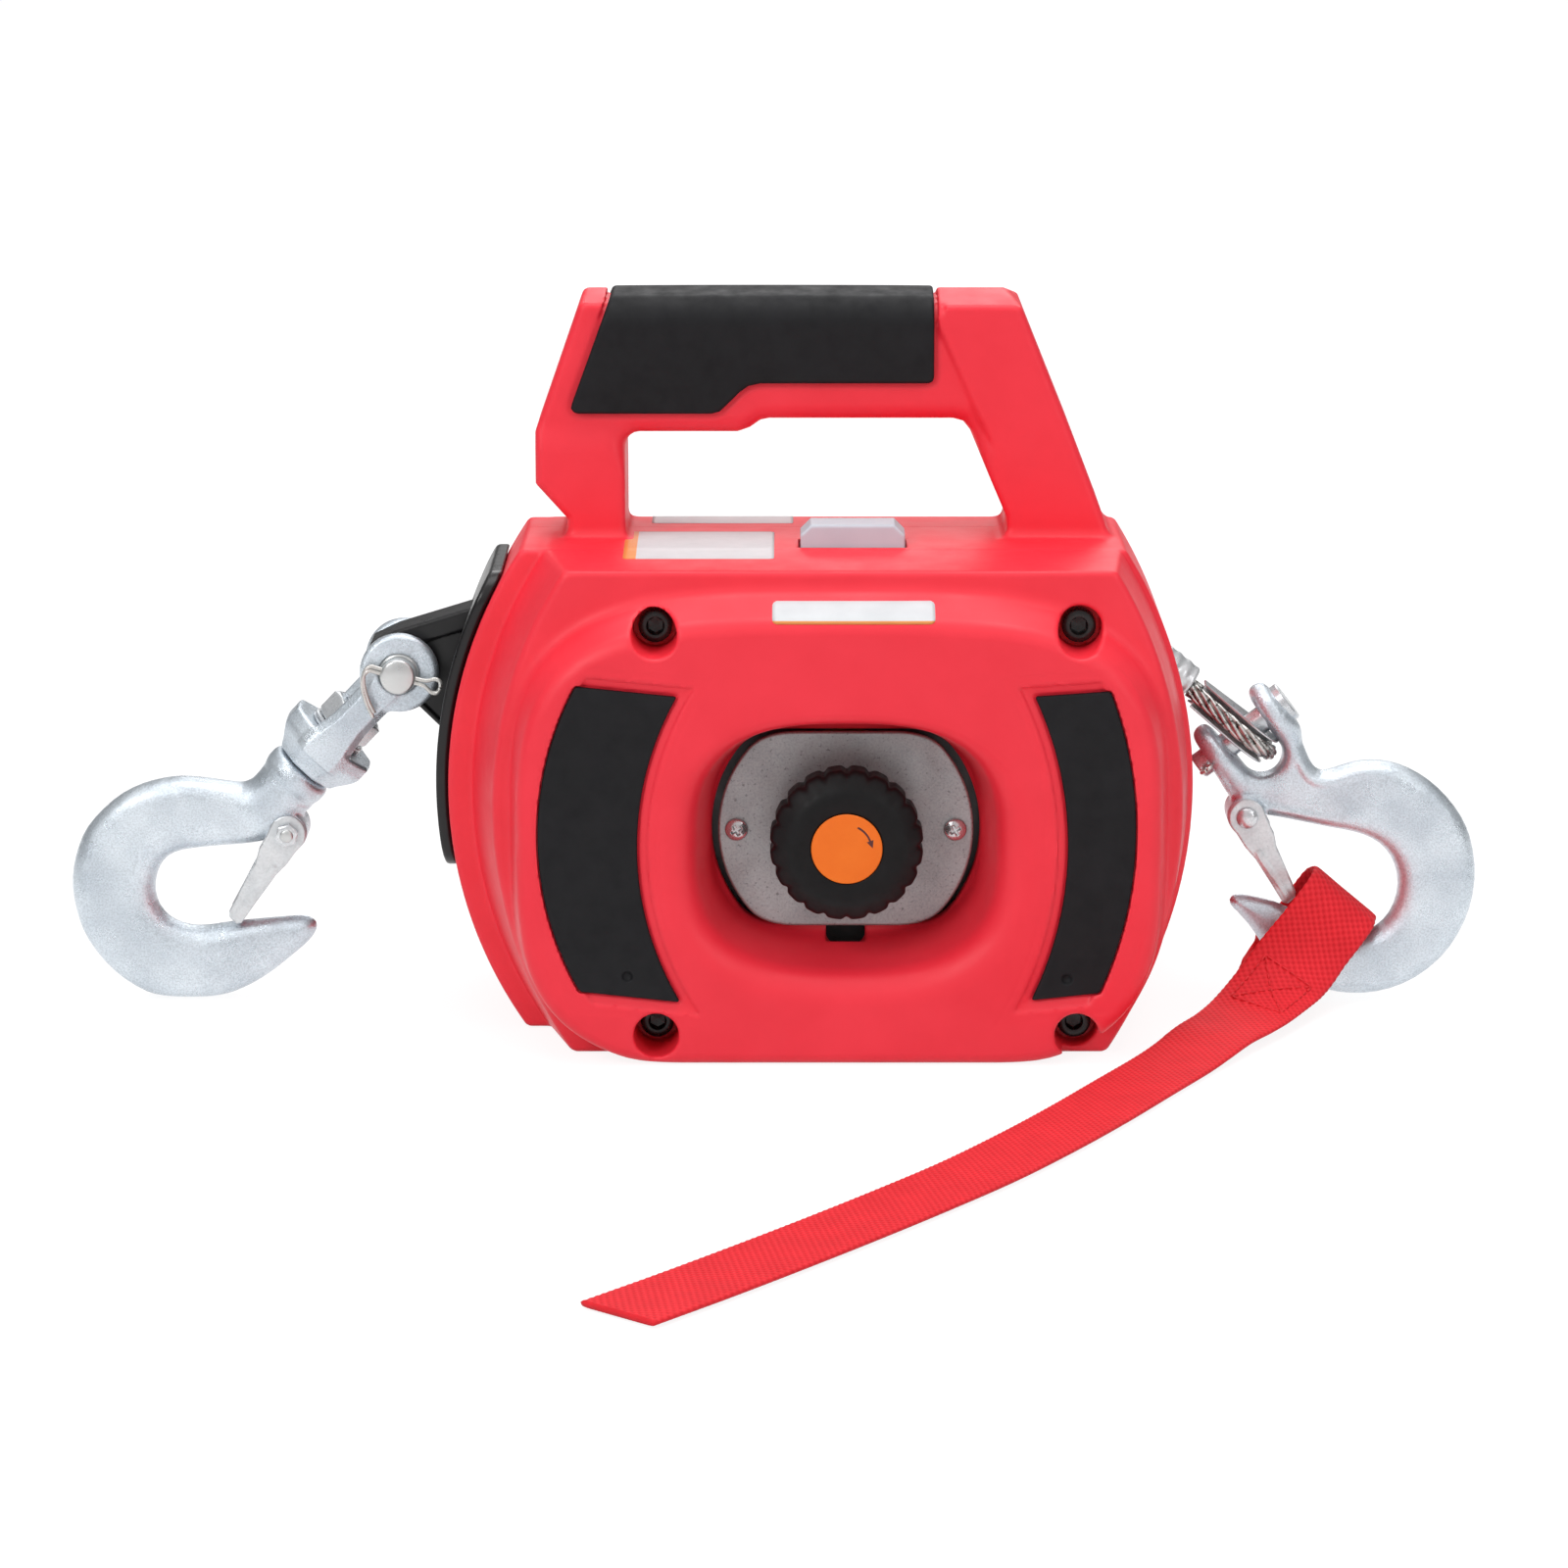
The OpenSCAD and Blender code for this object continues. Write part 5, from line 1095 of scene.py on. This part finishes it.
place(sdf_object("anchor_hook_forging", hook_a_sdf, (15, -11.5, -39), (130, 11.5, 39), 0.55, CAST,
    ANCHOR), "swivel_hook", "zinc_cast", "anchor_hook")

for i, (a, b) in enumerate(((26.85, 27.8), (27.9, 28.9))):
    place(ring(f"swivel_washer_{i + 1}", [(a, 5.05), (a, 8.6), (a + 0.2, 8.9), (b - 0.2, 8.9), (b, 8.6),
        (b, 5.05)], load_axis(*ANCHOR), ZINC, 72), "yoke", "zinc_bright",
        *(["swivel_washers"] if i == 0 else []))


def nut_sdf(s, y, q):
    r = np.hypot(y, q)
    a = np.arctan2(q, y)
    flat = r * np.cos((a + math.pi / 6) % (math.pi / 3) - math.pi / 6) - 7.75
    cham = r - 8.9 + np.maximum(np.abs(s - 22.6) - 3.1, 0) * 1.6
    d = smax(smax(flat, cham, 0.3), np.abs(s - 22.6) - 4.0, 0.3)
    return smax(d, -(r - 4.97), 0.2)


place(sdf_object("swivel_lock_nut", nut_sdf, (17.5, -9.8, -9.8), (27.5, 9.8, 9.8), 0.32, ZINC, ANCHOR),
    "swivel_hook", "zinc_bright", "swivel_nut")

pin = [(-19.5, 0.3), (-19.5, 4.4), (-19.2, 4.9), (-18.6, 5.15), (-14.0, 5.2), (-13.6, 5.92),
    (14.5, 5.92), (14.6, 8.0), (14.9, 8.35), (17.1, 8.35), (17.5, 7.9), (17.6, 0.3)]
place(lathe("anchor_pin_body", pin, cross_axis(*ANCHOR), MACHINED, 72), "yoke", "zinc_bright",
    "anchor_pin")


def cotter_wires(make, thin, name, body, node_name):
    """Split pin: two legs side by side through the pin, bent round its far side, and an open eye."""
    legs = [tube_points(make(side), thin) for side in (-1, 1)]
    place_mesh(name, join(legs), COTTER, body, "zinc_bright", node_name)


def anchor_cotter_path(side):
    # legs in the plane of the pin's end, at y just proud of the ear
    y = -17.0 - 0.02 * side
    off = 0.66 * side
    eye = [(-12.8, 0.15 * side), (-12.2, 1.7 * side), (-10.6, 2.0 * side), (-8.4, 0.9 * side),
        (-6.4, off)]
    leg = [(-3, off), (0, off), (4, off), (6.6, off), (8.2, off), (9.4, 1.2 + off), (9.6, 3.2 + off),
        (8.6, 6.4 + off), (6.2, 10.4 + off), (3.8, 13.2 + off)]
    (ox, oz), along = ANCHOR
    c, s = math.cos(rad(along - 62)), math.sin(rad(along - 62))
    out = [(ox + a * c - b * s, y - 0.35 * max(0, (abs(a) - 6)) * 0.12, oz + a * s + b * c) for a,
        b in eye + leg]
    return smooth_path(out, 0.5)


cotter_wires(anchor_cotter_path, 0.62, "anchor_split_pin", "yoke", "anchor_cotter")


# ---------------------------------------------------------------- latches
def latch_piece(name, origin, angle, pivot, turn, length, hook_t, end_half, body, node_name, lip):
    """Channel bent from sheet: round cheeks, walls that draw in and taper, a web on the mouth's side."""
    in_y = hook_t / 2 + 0.3
    edge = lip * 2.1
    wall = [(-1, -5.2), (8, -4.7), (12.5, -3.2), (length - 1.8, -1.6), (length - 0.4, -0.6),
        (length + 0.3, 2.2), (length - 0.7, 3.4), (12.5, 3.9), (8, 4.8), (-1, 5.2)]
    wall = [(a, b * lip) for a, b in wall][::lip]

    def f(s, y, q):
        w = np.abs(y)
        shape = smin(disc(s, q, (0, 0), 5.45), poly(s, q, wall), 0.6)
        out = in_y + 1.4 - (in_y + 1.4 - end_half) * step(s, 13, 25)
        side = smax(shape, np.maximum(w - out, out - 1.3 - w), 0.5)
        web = np.maximum(w - out, np.abs(q - edge * (1 - 0.45 * step(s, 12, length))) - 0.65)
        web = smax(web, np.maximum(10.5 - s, s - length + 0.8), 0.5)
        d = smin(side, web, 0.7)
        return np.maximum(d, -disc(s, q, (0, 0), 2.05))

    p, faces = sdf_points(f, (-7, -in_y - 3, -7), (length + 2, in_y + 3, 7), 0.38)
    p = local_to_world(local_to_world(p, pivot, turn), origin, angle)
    place_mesh(name, (p, faces), SHEET, body, "zinc_bright", node_name)


LATCH_A, LATCH_R = (59.3, 9.4), (19.4, -14.6)  # pivots of the latches along and across their hooks
latch_piece("anchor_latch_plate", *ANCHOR, LATCH_A, 10, 32, 13, 5, "swivel_hook_latch", "anchor_latch",
    1)
ROPE_HOOK = ((118.3, 80.7), -52.1)
latch_piece("rope_latch_plate", *ROPE_HOOK, LATCH_R, -8, 29.5, 12, 4.5, "end_hook_latch", "rope_latch",
    -1)

# latch bolt with its hexagon nut, and the rivet
bolt = [(-11.3, 0.2), (-11.3, 1.5), (-11.0, 1.9), (-10.7, 2.0), (8.2, 2.0), (8.25, 3.2), (8.5, 3.4),
    (9.6, 3.3), (10.0, 2.7), (10.1, 0.3)]
shank = lathe("anchor_latch_screw", bolt, cross_axis(*ANCHOR, *LATCH_A), MACHINED, 40)
nut = lathe("anchor_latch_nut", [(-10.7, 2.0), (-10.7, 2.6), (-10.4, 3.0), (-8.4, 3.0), (-8.2, 2.8),
    (-8.2, 2.0)], cross_axis(*ANCHOR, *LATCH_A), ZINC, 48, hexed=(2, 3))
place(shank, "swivel_hook", "zinc_bright", "anchor_latch_bolt")
place(nut, "swivel_hook", "zinc_bright")
dome = [(8.2 + 1.5 * math.sin(rad(a)), 3.2 * math.cos(rad(a))) for a in (0, 18, 36, 54, 72, 86)]
rivet = [(-a, r) for a, r in dome[::-1]] + [(-7.9, 3.1), (-7.9, 2.0), (7.9, 2.0), (7.9, 3.1)] + dome
place(lathe("rope_latch_rivet_body", rivet, cross_axis(*ROPE_HOOK, *LATCH_R), ZINC, 48), "end_hook",
    "zinc_bright", "rope_latch_rivet")


def coil_spring(name, origin, angle, s, q, hook_t, body, node_name):
    a = np.linspace(0, 2 * math.pi * 2.6, 80)
    y = -hook_t / 2 + 0.75 + 2.7 * np.linspace(0, 1, 80) * 0.9
    path = local_to_world(np.stack([s + 3.3 * np.cos(a), y, q + 3.3 * np.sin(a)], 1), origin, angle)
    place_mesh(name, tube_points(path, 0.42, 8), SPRING, body, "spring_steel", node_name)


coil_spring("anchor_latch_coil", *ANCHOR, *LATCH_A, 13, "swivel_hook", "anchor_latch_spring")
coil_spring("rope_latch_coil", *ROPE_HOOK, *LATCH_R, 12, "end_hook", "rope_latch_spring")

# ---------------------------------------------------------------- rope hook
HOOK_R = soften([
    (0, -13.1), (6, -13.6), (12, -15.4), (17.5, -15.4), (21.5, -12.2), (25.4, -8.6), (30.2, -4.4),
        (36.9, 1.4), (42.6, 6.4), (47.4, 9.8),
    (52.6, 11.6), (58.0, 11.4), (63.4, 9.2), (68.0, 5.0), (70.9, -0.6), (71.2, -6.6), (68.8, -12.2),
        (64.2, -16.8), (58.4, -19.4), (52.6, -20.6),
    (47.2, -23.2), (42.6, -26.4), (38.8, -29.6), (36.9, -32.2), (37.2, -34.4), (39.4, -35.5),
        (43.4, -35.0), (49.0, -34.6), (55.6, -35.0), (62.4, -34.6),
    (69.2, -32.8), (75.6, -29.4), (81.4, -24.6), (86.2, -18.4), (89.6, -11.0), (91.1, -2.6),
        (90.3, 6.8), (87.0, 15.4), (82.2, 22.6), (75.8, 28.6),
    (68.0, 33.0), (61.5, 35.0), (54.3, 35.5), (46.6, 34.6), (40.0, 32.4), (34.4, 29.2), (30.3, 25.2),
        (27.2, 20.6), (25.4, 15.8), (24.2, 12.2),
    (22.4, 10.1), (19.6, 9.8), (16.0, 10.6), (11.4, 11.9), (6.4, 12.8), (0, 13.1)], False, 1)


def hook_r_sdf(s, y, q):
    w = np.abs(y)
    out = poly(s, q, HOOK_R)
    tip = np.hypot(s - 38, q + 34)
    t = 6.0 - 2.9 * (1 - step(tip, 2, 40))
    bowl = np.hypot(s - 56, q + 3.5)
    t = t - 0.8 * (1 - step(bowl, 13, 23)) * step(s, 34, 46)
    web = 1.1 * step(-out, 2.6, 5.0) * (1 - step(s, 26, 40)) * step(s, 12, 18)
    body = smax(out, w - t + web, 6.0)
    body = np.where(s < 0.5, 50.0, body)
    boss = slab(disc(s, q, (19.4, -14.6), 5.6), y, -6, 6, 0.8)
    d = smin(body, boss, 1.2)
    # round ends of the clevis arms
    for sign in (-1, 1):
        p = np.hypot(s, y)
        ear = smax(p - 9.6, np.abs(q - sign * 9.6) - 3.75, 3.7)
        d = smin(d, ear, 4.2)
    throat = np.where(s < 8.2, np.abs(q) - 6.05, np.hypot(s - 8.2, q) - 6.05)
    d = smax(d, -throat, 4.2)
    d = np.maximum(d, -(np.hypot(s, y) - 4.02))
    d = np.maximum(d, -disc(s, q, (19.4, -14.6), 2.05))
    return np.maximum(d, -np.maximum(disc(s, q, (19.4, -14.6), 4.1), y + 2.4))


place(sdf_object("rope_hook_forging", hook_r_sdf, (-12, -11.5, -38), (93, 11.5, 38), 0.55, CAST,
    ROPE_HOOK), "end_hook", "zinc_cast", "rope_hook")

pin_axis = lambda a, u, v: local_to_world(np.stack([u, v, a], 1), *ROPE_HOOK)
pin = [(-17.4, 0.3), (-17.4, 3.4), (-17.0, 3.85), (-16.6, 3.93), (13.0, 3.93), (13.15, 5.8),
    (13.4, 6.1), (15.2, 6.1), (15.6, 5.7), (15.7, 0.3)]
place(lathe("clevis_pin_body", pin, pin_axis, ZINC, 64), "end_hook", "zinc_bright", "clevis_pin")


def clevis_cotter_path(side):
    off = 0.5 * side
    eye = [(-10.6, 0.1 * side), (-10.0, 1.6 * side), (-8.6, 1.9 * side), (-6.6, 0.8 * side), (-5.0, off)]
    leg = [(-2, off), (2, off), (5, off), (6.6, 0.3 + off), (7.8, 0.8 + off)]
    # through the pin along Y, near the pin's end
    pts = [(0, a, -15.2 + b * 0.9) for a, b in eye + leg]
    return smooth_path(local_to_world(np.array(pts), *ROPE_HOOK), 0.5)


cotter_wires(clevis_cotter_path, 0.5, "clevis_split_pin", "end_hook", "clevis_cotter")

# ---------------------------------------------------------------- wire rope
def wire_rope(path, radius, segs=14, lay=30.0, strands=6):
    """Strands laid round a core, each fluted by its own wires."""
    p, _, n, b = frames_along(path)
    s = lengths_along(p)
    rs = radius / (1 + 1 / math.sin(math.pi / strands)) * 1.06
    rc = radius - rs
    parts = [tube_points(p, rc * 0.72, 8)]
    ang = circle(segs)
    for k in range(strands):
        a = 2 * math.pi * (s / lay + k / strands)
        c = p + rc * (np.cos(a)[:, None] * n + np.sin(a)[:, None] * b)
        flute = rs * (1 - 0.075 * (0.5 + 0.5 * np.cos(7 * ang[None, :] + 2 * math.pi * s[:,
            None] / 6.5)))
        parts.append(sweep(c, n, b, flute))
    return join(parts)


EYE_AT = ((118.3, 80.7), -39.2)
TAPER = 17.0  # lean of each leg of the eye
ROPE_R = 2.5
EYE_R = 9.0  # from the middle of the eye's crown to the rope's centre


def eye_path(r, leg, n=48):
    """Centreline of the teardrop in the eye's own frame, from one leg round the crown to the other."""
    a = [rad(-90 - TAPER + (180 + 2 * TAPER) * i / n) for i in range(n + 1)]
    crown = [(r * math.cos(t), r * math.sin(t)) for t in a]
    c, s = math.cos(rad(TAPER)), math.sin(rad(TAPER))
    first = [(crown[0][0] - c * d, crown[0][1] + s * d) for d in np.linspace(leg, 0.6, 20)]
    last = [(crown[-1][0] - c * d, crown[-1][1] - s * d) for d in np.linspace(0.6, leg, 20)]
    return np.array(first + crown + last)


def eye_world(p2):
    return local_to_world(np.stack([p2[:, 0], p2[:, 1], 0 * p2[:, 0]], 1), *EYE_AT)


path = smooth_path(eye_world(eye_path(EYE_R, 19.7)), 0.7)
place_mesh("rope_eye_strands", wire_rope(path, ROPE_R), ROPE, "frame", "rope_wire", "rope_eye")

# thimble: a rolled channel along the same teardrop
prof = [(6.1, -3.3), (8.9, -4.15), (9.3, -3.95), (9.2, -3.55), (7.3, -2.95), (6.45, -1.7), (6.3, 0),
    (6.45, 1.7), (7.3, 2.95), (9.2, 3.55), (9.3, 3.95), (8.9, 4.15), (6.1, 3.3), (5.55, 1.9), (5.4, 0),
    (5.55, -1.9)]
centre = eye_path(5.4, 16.5)
d = np.gradient(centre, axis=0)
d /= np.linalg.norm(d, axis=1)[:, None]
outn = np.stack([d[:, 1], -d[:, 0]], 1)
verts = []
for c0, n0 in zip(centre, outn):
    for r, w in prof:
        verts.append((c0[0] + n0[0] * (r - 5.4), c0[1] + n0[1] * (r - 5.4), w))
faces = strip_faces(len(centre), len(prof))
obj = mesh_object("thimble_channel", local_to_world(np.array(verts), *EYE_AT), faces, SHEET)
place(sharpen(outward(obj), 50), "frame", "zinc_bright", "thimble")

start, stop = np.array([2.0, 0, 105.6]), np.array([92.15, 0, 102.0])
stop = start + (stop - start) * (1 - 1.9 / np.linalg.norm(stop - start))
run = wire_rope(smooth_path([start, (start + stop) / 2, stop], 0.8), ROPE_R, 12)
place_mesh("rope_run_strands", run, ROPE, "frame", "rope_wire", "rope_run")


def ferrule_sdf(s, y, q):
    ribs = 0.25 * np.cos(2 * math.pi * (s + 33.74) / 3.8)
    return smax(np.hypot(y, q) - 6.05 - ribs * 0.6, np.abs(s + 27.99) - 5.75, 1.2)


place(sdf_object("rope_sleeve", ferrule_sdf, (-35, -7.5, -7.5), (-21, 7.5, 7.5), 0.5, SHEET, EYE_AT),
    "frame", "zinc_bright", "rope_ferrule")


def wound(turns=7.6, half=17.6, m=18):
    """Rope laid on the drum in three layers, fluted by its strands."""
    parts = []
    for r, way, count in ((24.6, 1, int(turns * 60)), (29.9, -1, int(turns * 60)), (37.4, 1, 490)):
        a = np.linspace(0, 2 * math.pi * turns, count)
        w = (-half + 2 * half * a / a[-1]) * way
        p, _, n, b = frames_along(np.stack([r * np.cos(a), w, SHAFT_Z + r * np.sin(a)], 1))
        s = lengths_along(p)
        flute = 0.5 + 0.5 * np.cos(6 * circle(m)[None, :] + 2 * math.pi * s[:, None] / 30 * 6)
        parts.append(sweep(p, n, b, ROPE_R - 0.32 * flute))
    return join(parts)


place_mesh("rope_on_drum", wound(), ROPE, "drum", "rope_wire", "wound_rope")

# ---------------------------------------------------------------- drive input, on the back
bezel = [(66, 8.3), (66, 11.9), (75.05, 11.95), (75.1, 14.1), (75.35, 14.5), (76.2, 14.45),
    (76.6, 13.9), (76.6, 10.6), (76.2, 9.2), (75.2, 8.35)]
place(ring("drive_input_bezel", bezel, y_axis(*BEZEL_AT), BEZEL, 72), "frame", "bezel_black",
    "input_bezel")

# spring of the clutch, as a real coil
a = np.linspace(0, 2 * math.pi * 3.4, 150)
y0, y1 = [c.y * 1000 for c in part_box("clutch_spring")]
y = y0 + 0.9 + (y1 - y0 - 1.8) * np.linspace(0, 1, 150)
line = np.stack([13.65 * np.cos(a), y, SHAFT_Z + 13.65 * np.sin(a)], 1)
coil = outward(mesh_object("clutch_coil", *tube_points(line, 0.85), SPRING))
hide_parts("clutch_spring")
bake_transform(coil)

# ---------------------------------------------------------------- finishes of the CAD parts that stay
KEEP = {
    "case_nuts": BOLT, "front_frame_plate": STEEL, "rear_frame_plate": STEEL, "frame_spacers": MACHINED,
        "gear_plate": STEEL,
    "gear_plate_spacers": MACHINED, "front_hub_bush": BRONZE, "rear_hub_bush": BRONZE,
        "gear_plate_bushes": BRONZE, "fairlead": ZINC,
    "lug_bolts": MACHINED, "drive_bit": MACHINED, "drum": STEEL, "drum_bushes": BRONZE,
        "main_shaft": MACHINED, "drum_gear": STEEL,
    "clutch_dog": MACHINED, "clutch_stem": MACHINED, "intermediate_shaft": MACHINED,
        "intermediate_gear": STEEL, "input_shaft": MACHINED,
}
for name, material in KEEP.items():
    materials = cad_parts[name].data.materials
    if not materials:
        materials.append(material)
    for i in range(len(materials)):
        materials[i] = material

# ---------------------------------------------------------------- floor, world and lamps
def rays(nt, first, *more):
    """One where the ray is of any of the kinds."""
    path = add_node(nt, "LightPath").outputs
    value = path["Is " + first + " Ray"]
    for kind in more:
        value = math_node(nt, "MAXIMUM", value, path["Is " + kind + " Ray"])
    return value


def stage_plane(name, size, z, n=24):
    """Floor: white to the camera and in the metal, grey to everything else, with the object's shadow."""
    v = [((i / n - 0.5) * size, (j / n - 0.5) * size, z) for i in range(n + 1) for j in range(n + 1)]
    a = [i * (n + 1) + j for i in range(n) for j in range(n)]
    m, nt = new_material(name)
    lit = add_node(nt, "BsdfDiffuse", {0: (0.68, 0.68, 0.68, 1)})
    glow = add_node(nt, "Emission", {0: (1, 1, 1, 1), 1: 1.255})
    share = math_node(nt, "MULTIPLY", rays(nt, "Camera", "Transmission", "Glossy"), 0.70)
    mix = add_node(nt, "MixShader", {0: share, 1: lit.outputs[0], 2: glow.outputs[0]})
    add_node(nt, "OutputMaterial", {0: mix.outputs[0]})
    mesh_object(name, v, [(k, k + n + 1, k + n + 2, k + 1) for k in a], m, False, 1.0)


stage_plane("floor", 14.0, -0.0003)


def card(name, centre, size, tilt, tone):
    """Dark panel out of the camera's sight, for the metal to reflect."""
    w, h = size
    v = [(-w / 2, 0, -h / 2), (w / 2, 0, -h / 2), (w / 2, 0, h / 2), (-w / 2, 0, h / 2)]
    m = bpy.data.materials.new(name)
    m.use_nodes = True
    b = m.node_tree.nodes["Principled BSDF"]
    b.inputs["Base Color"].default_value = (tone, tone, tone, 1)
    b.inputs["Roughness"].default_value = 0.9
    o = mesh_object(name, v, [(0, 1, 2, 3)], m, False, 1.0)
    o.location = centre
    o.rotation_euler = tilt


card("dark_card_left", (-1.5, -1.0, 0.55), (0.9, 1.4), (0, 0, rad(-60)), 0.03)
card("dark_card_right", (1.6, -0.9, 0.5), (0.8, 1.4), (0, 0, rad(60)), 0.03)

world = bpy.data.worlds.new("studio")
scene.world = world
world.use_nodes = True
nt = world.node_tree
nt.nodes.clear()
# the room: bright in front and above, dim at the sides and behind; plain white to the camera
way = add_node(nt, "SeparateXYZ", {0: add_node(nt, "TexCoord").outputs["Generated"]})
front = to_range(nt, way.outputs[1], 0.62, 0.16, -0.9, 0.25)
above = to_range(nt, way.outputs[2], 0.0, 0.5, 0.15, 0.95)
room = math_node(nt, "ADD", front, above)
level = add_node(nt, "Mix", {"Factor": rays(nt, "Camera", "Transmission"), "A": room, "B": 1.0})
back = add_node(nt, "Background", {0: (1, 1, 1, 1), 1: level.outputs["Result"]})
add_node(nt, "OutputWorld", {0: back.outputs[0]})


def lamp(name, at, target, size, watts):
    data = bpy.data.lights.new(name, "AREA")
    data.shape = "RECTANGLE"
    data.size, data.size_y = size
    data.energy = watts
    o = link(bpy.data.objects.new(name, data))
    o.location = at
    o.rotation_euler = (Vector(target) - Vector(at)).to_track_quat("-Z", "Y").to_euler()


lamp("key_left", (-1.5, -1.6, 1.3), (0, 0, 0.08), (1.0, 1.2), 24)
lamp("fill_right", (1.7, -1.4, 1.0), (0, 0, 0.08), (0.9, 1.2), 12)
lamp("top", (0, 0.1, 2.0), (0, 0, 0.1), (1.6, 1.2), 18)
lamp("back", (0.2, 1.8, 1.2), (0, 0, 0.1), (1.4, 0.9), 9)

scene.view_settings.view_transform = "Standard"
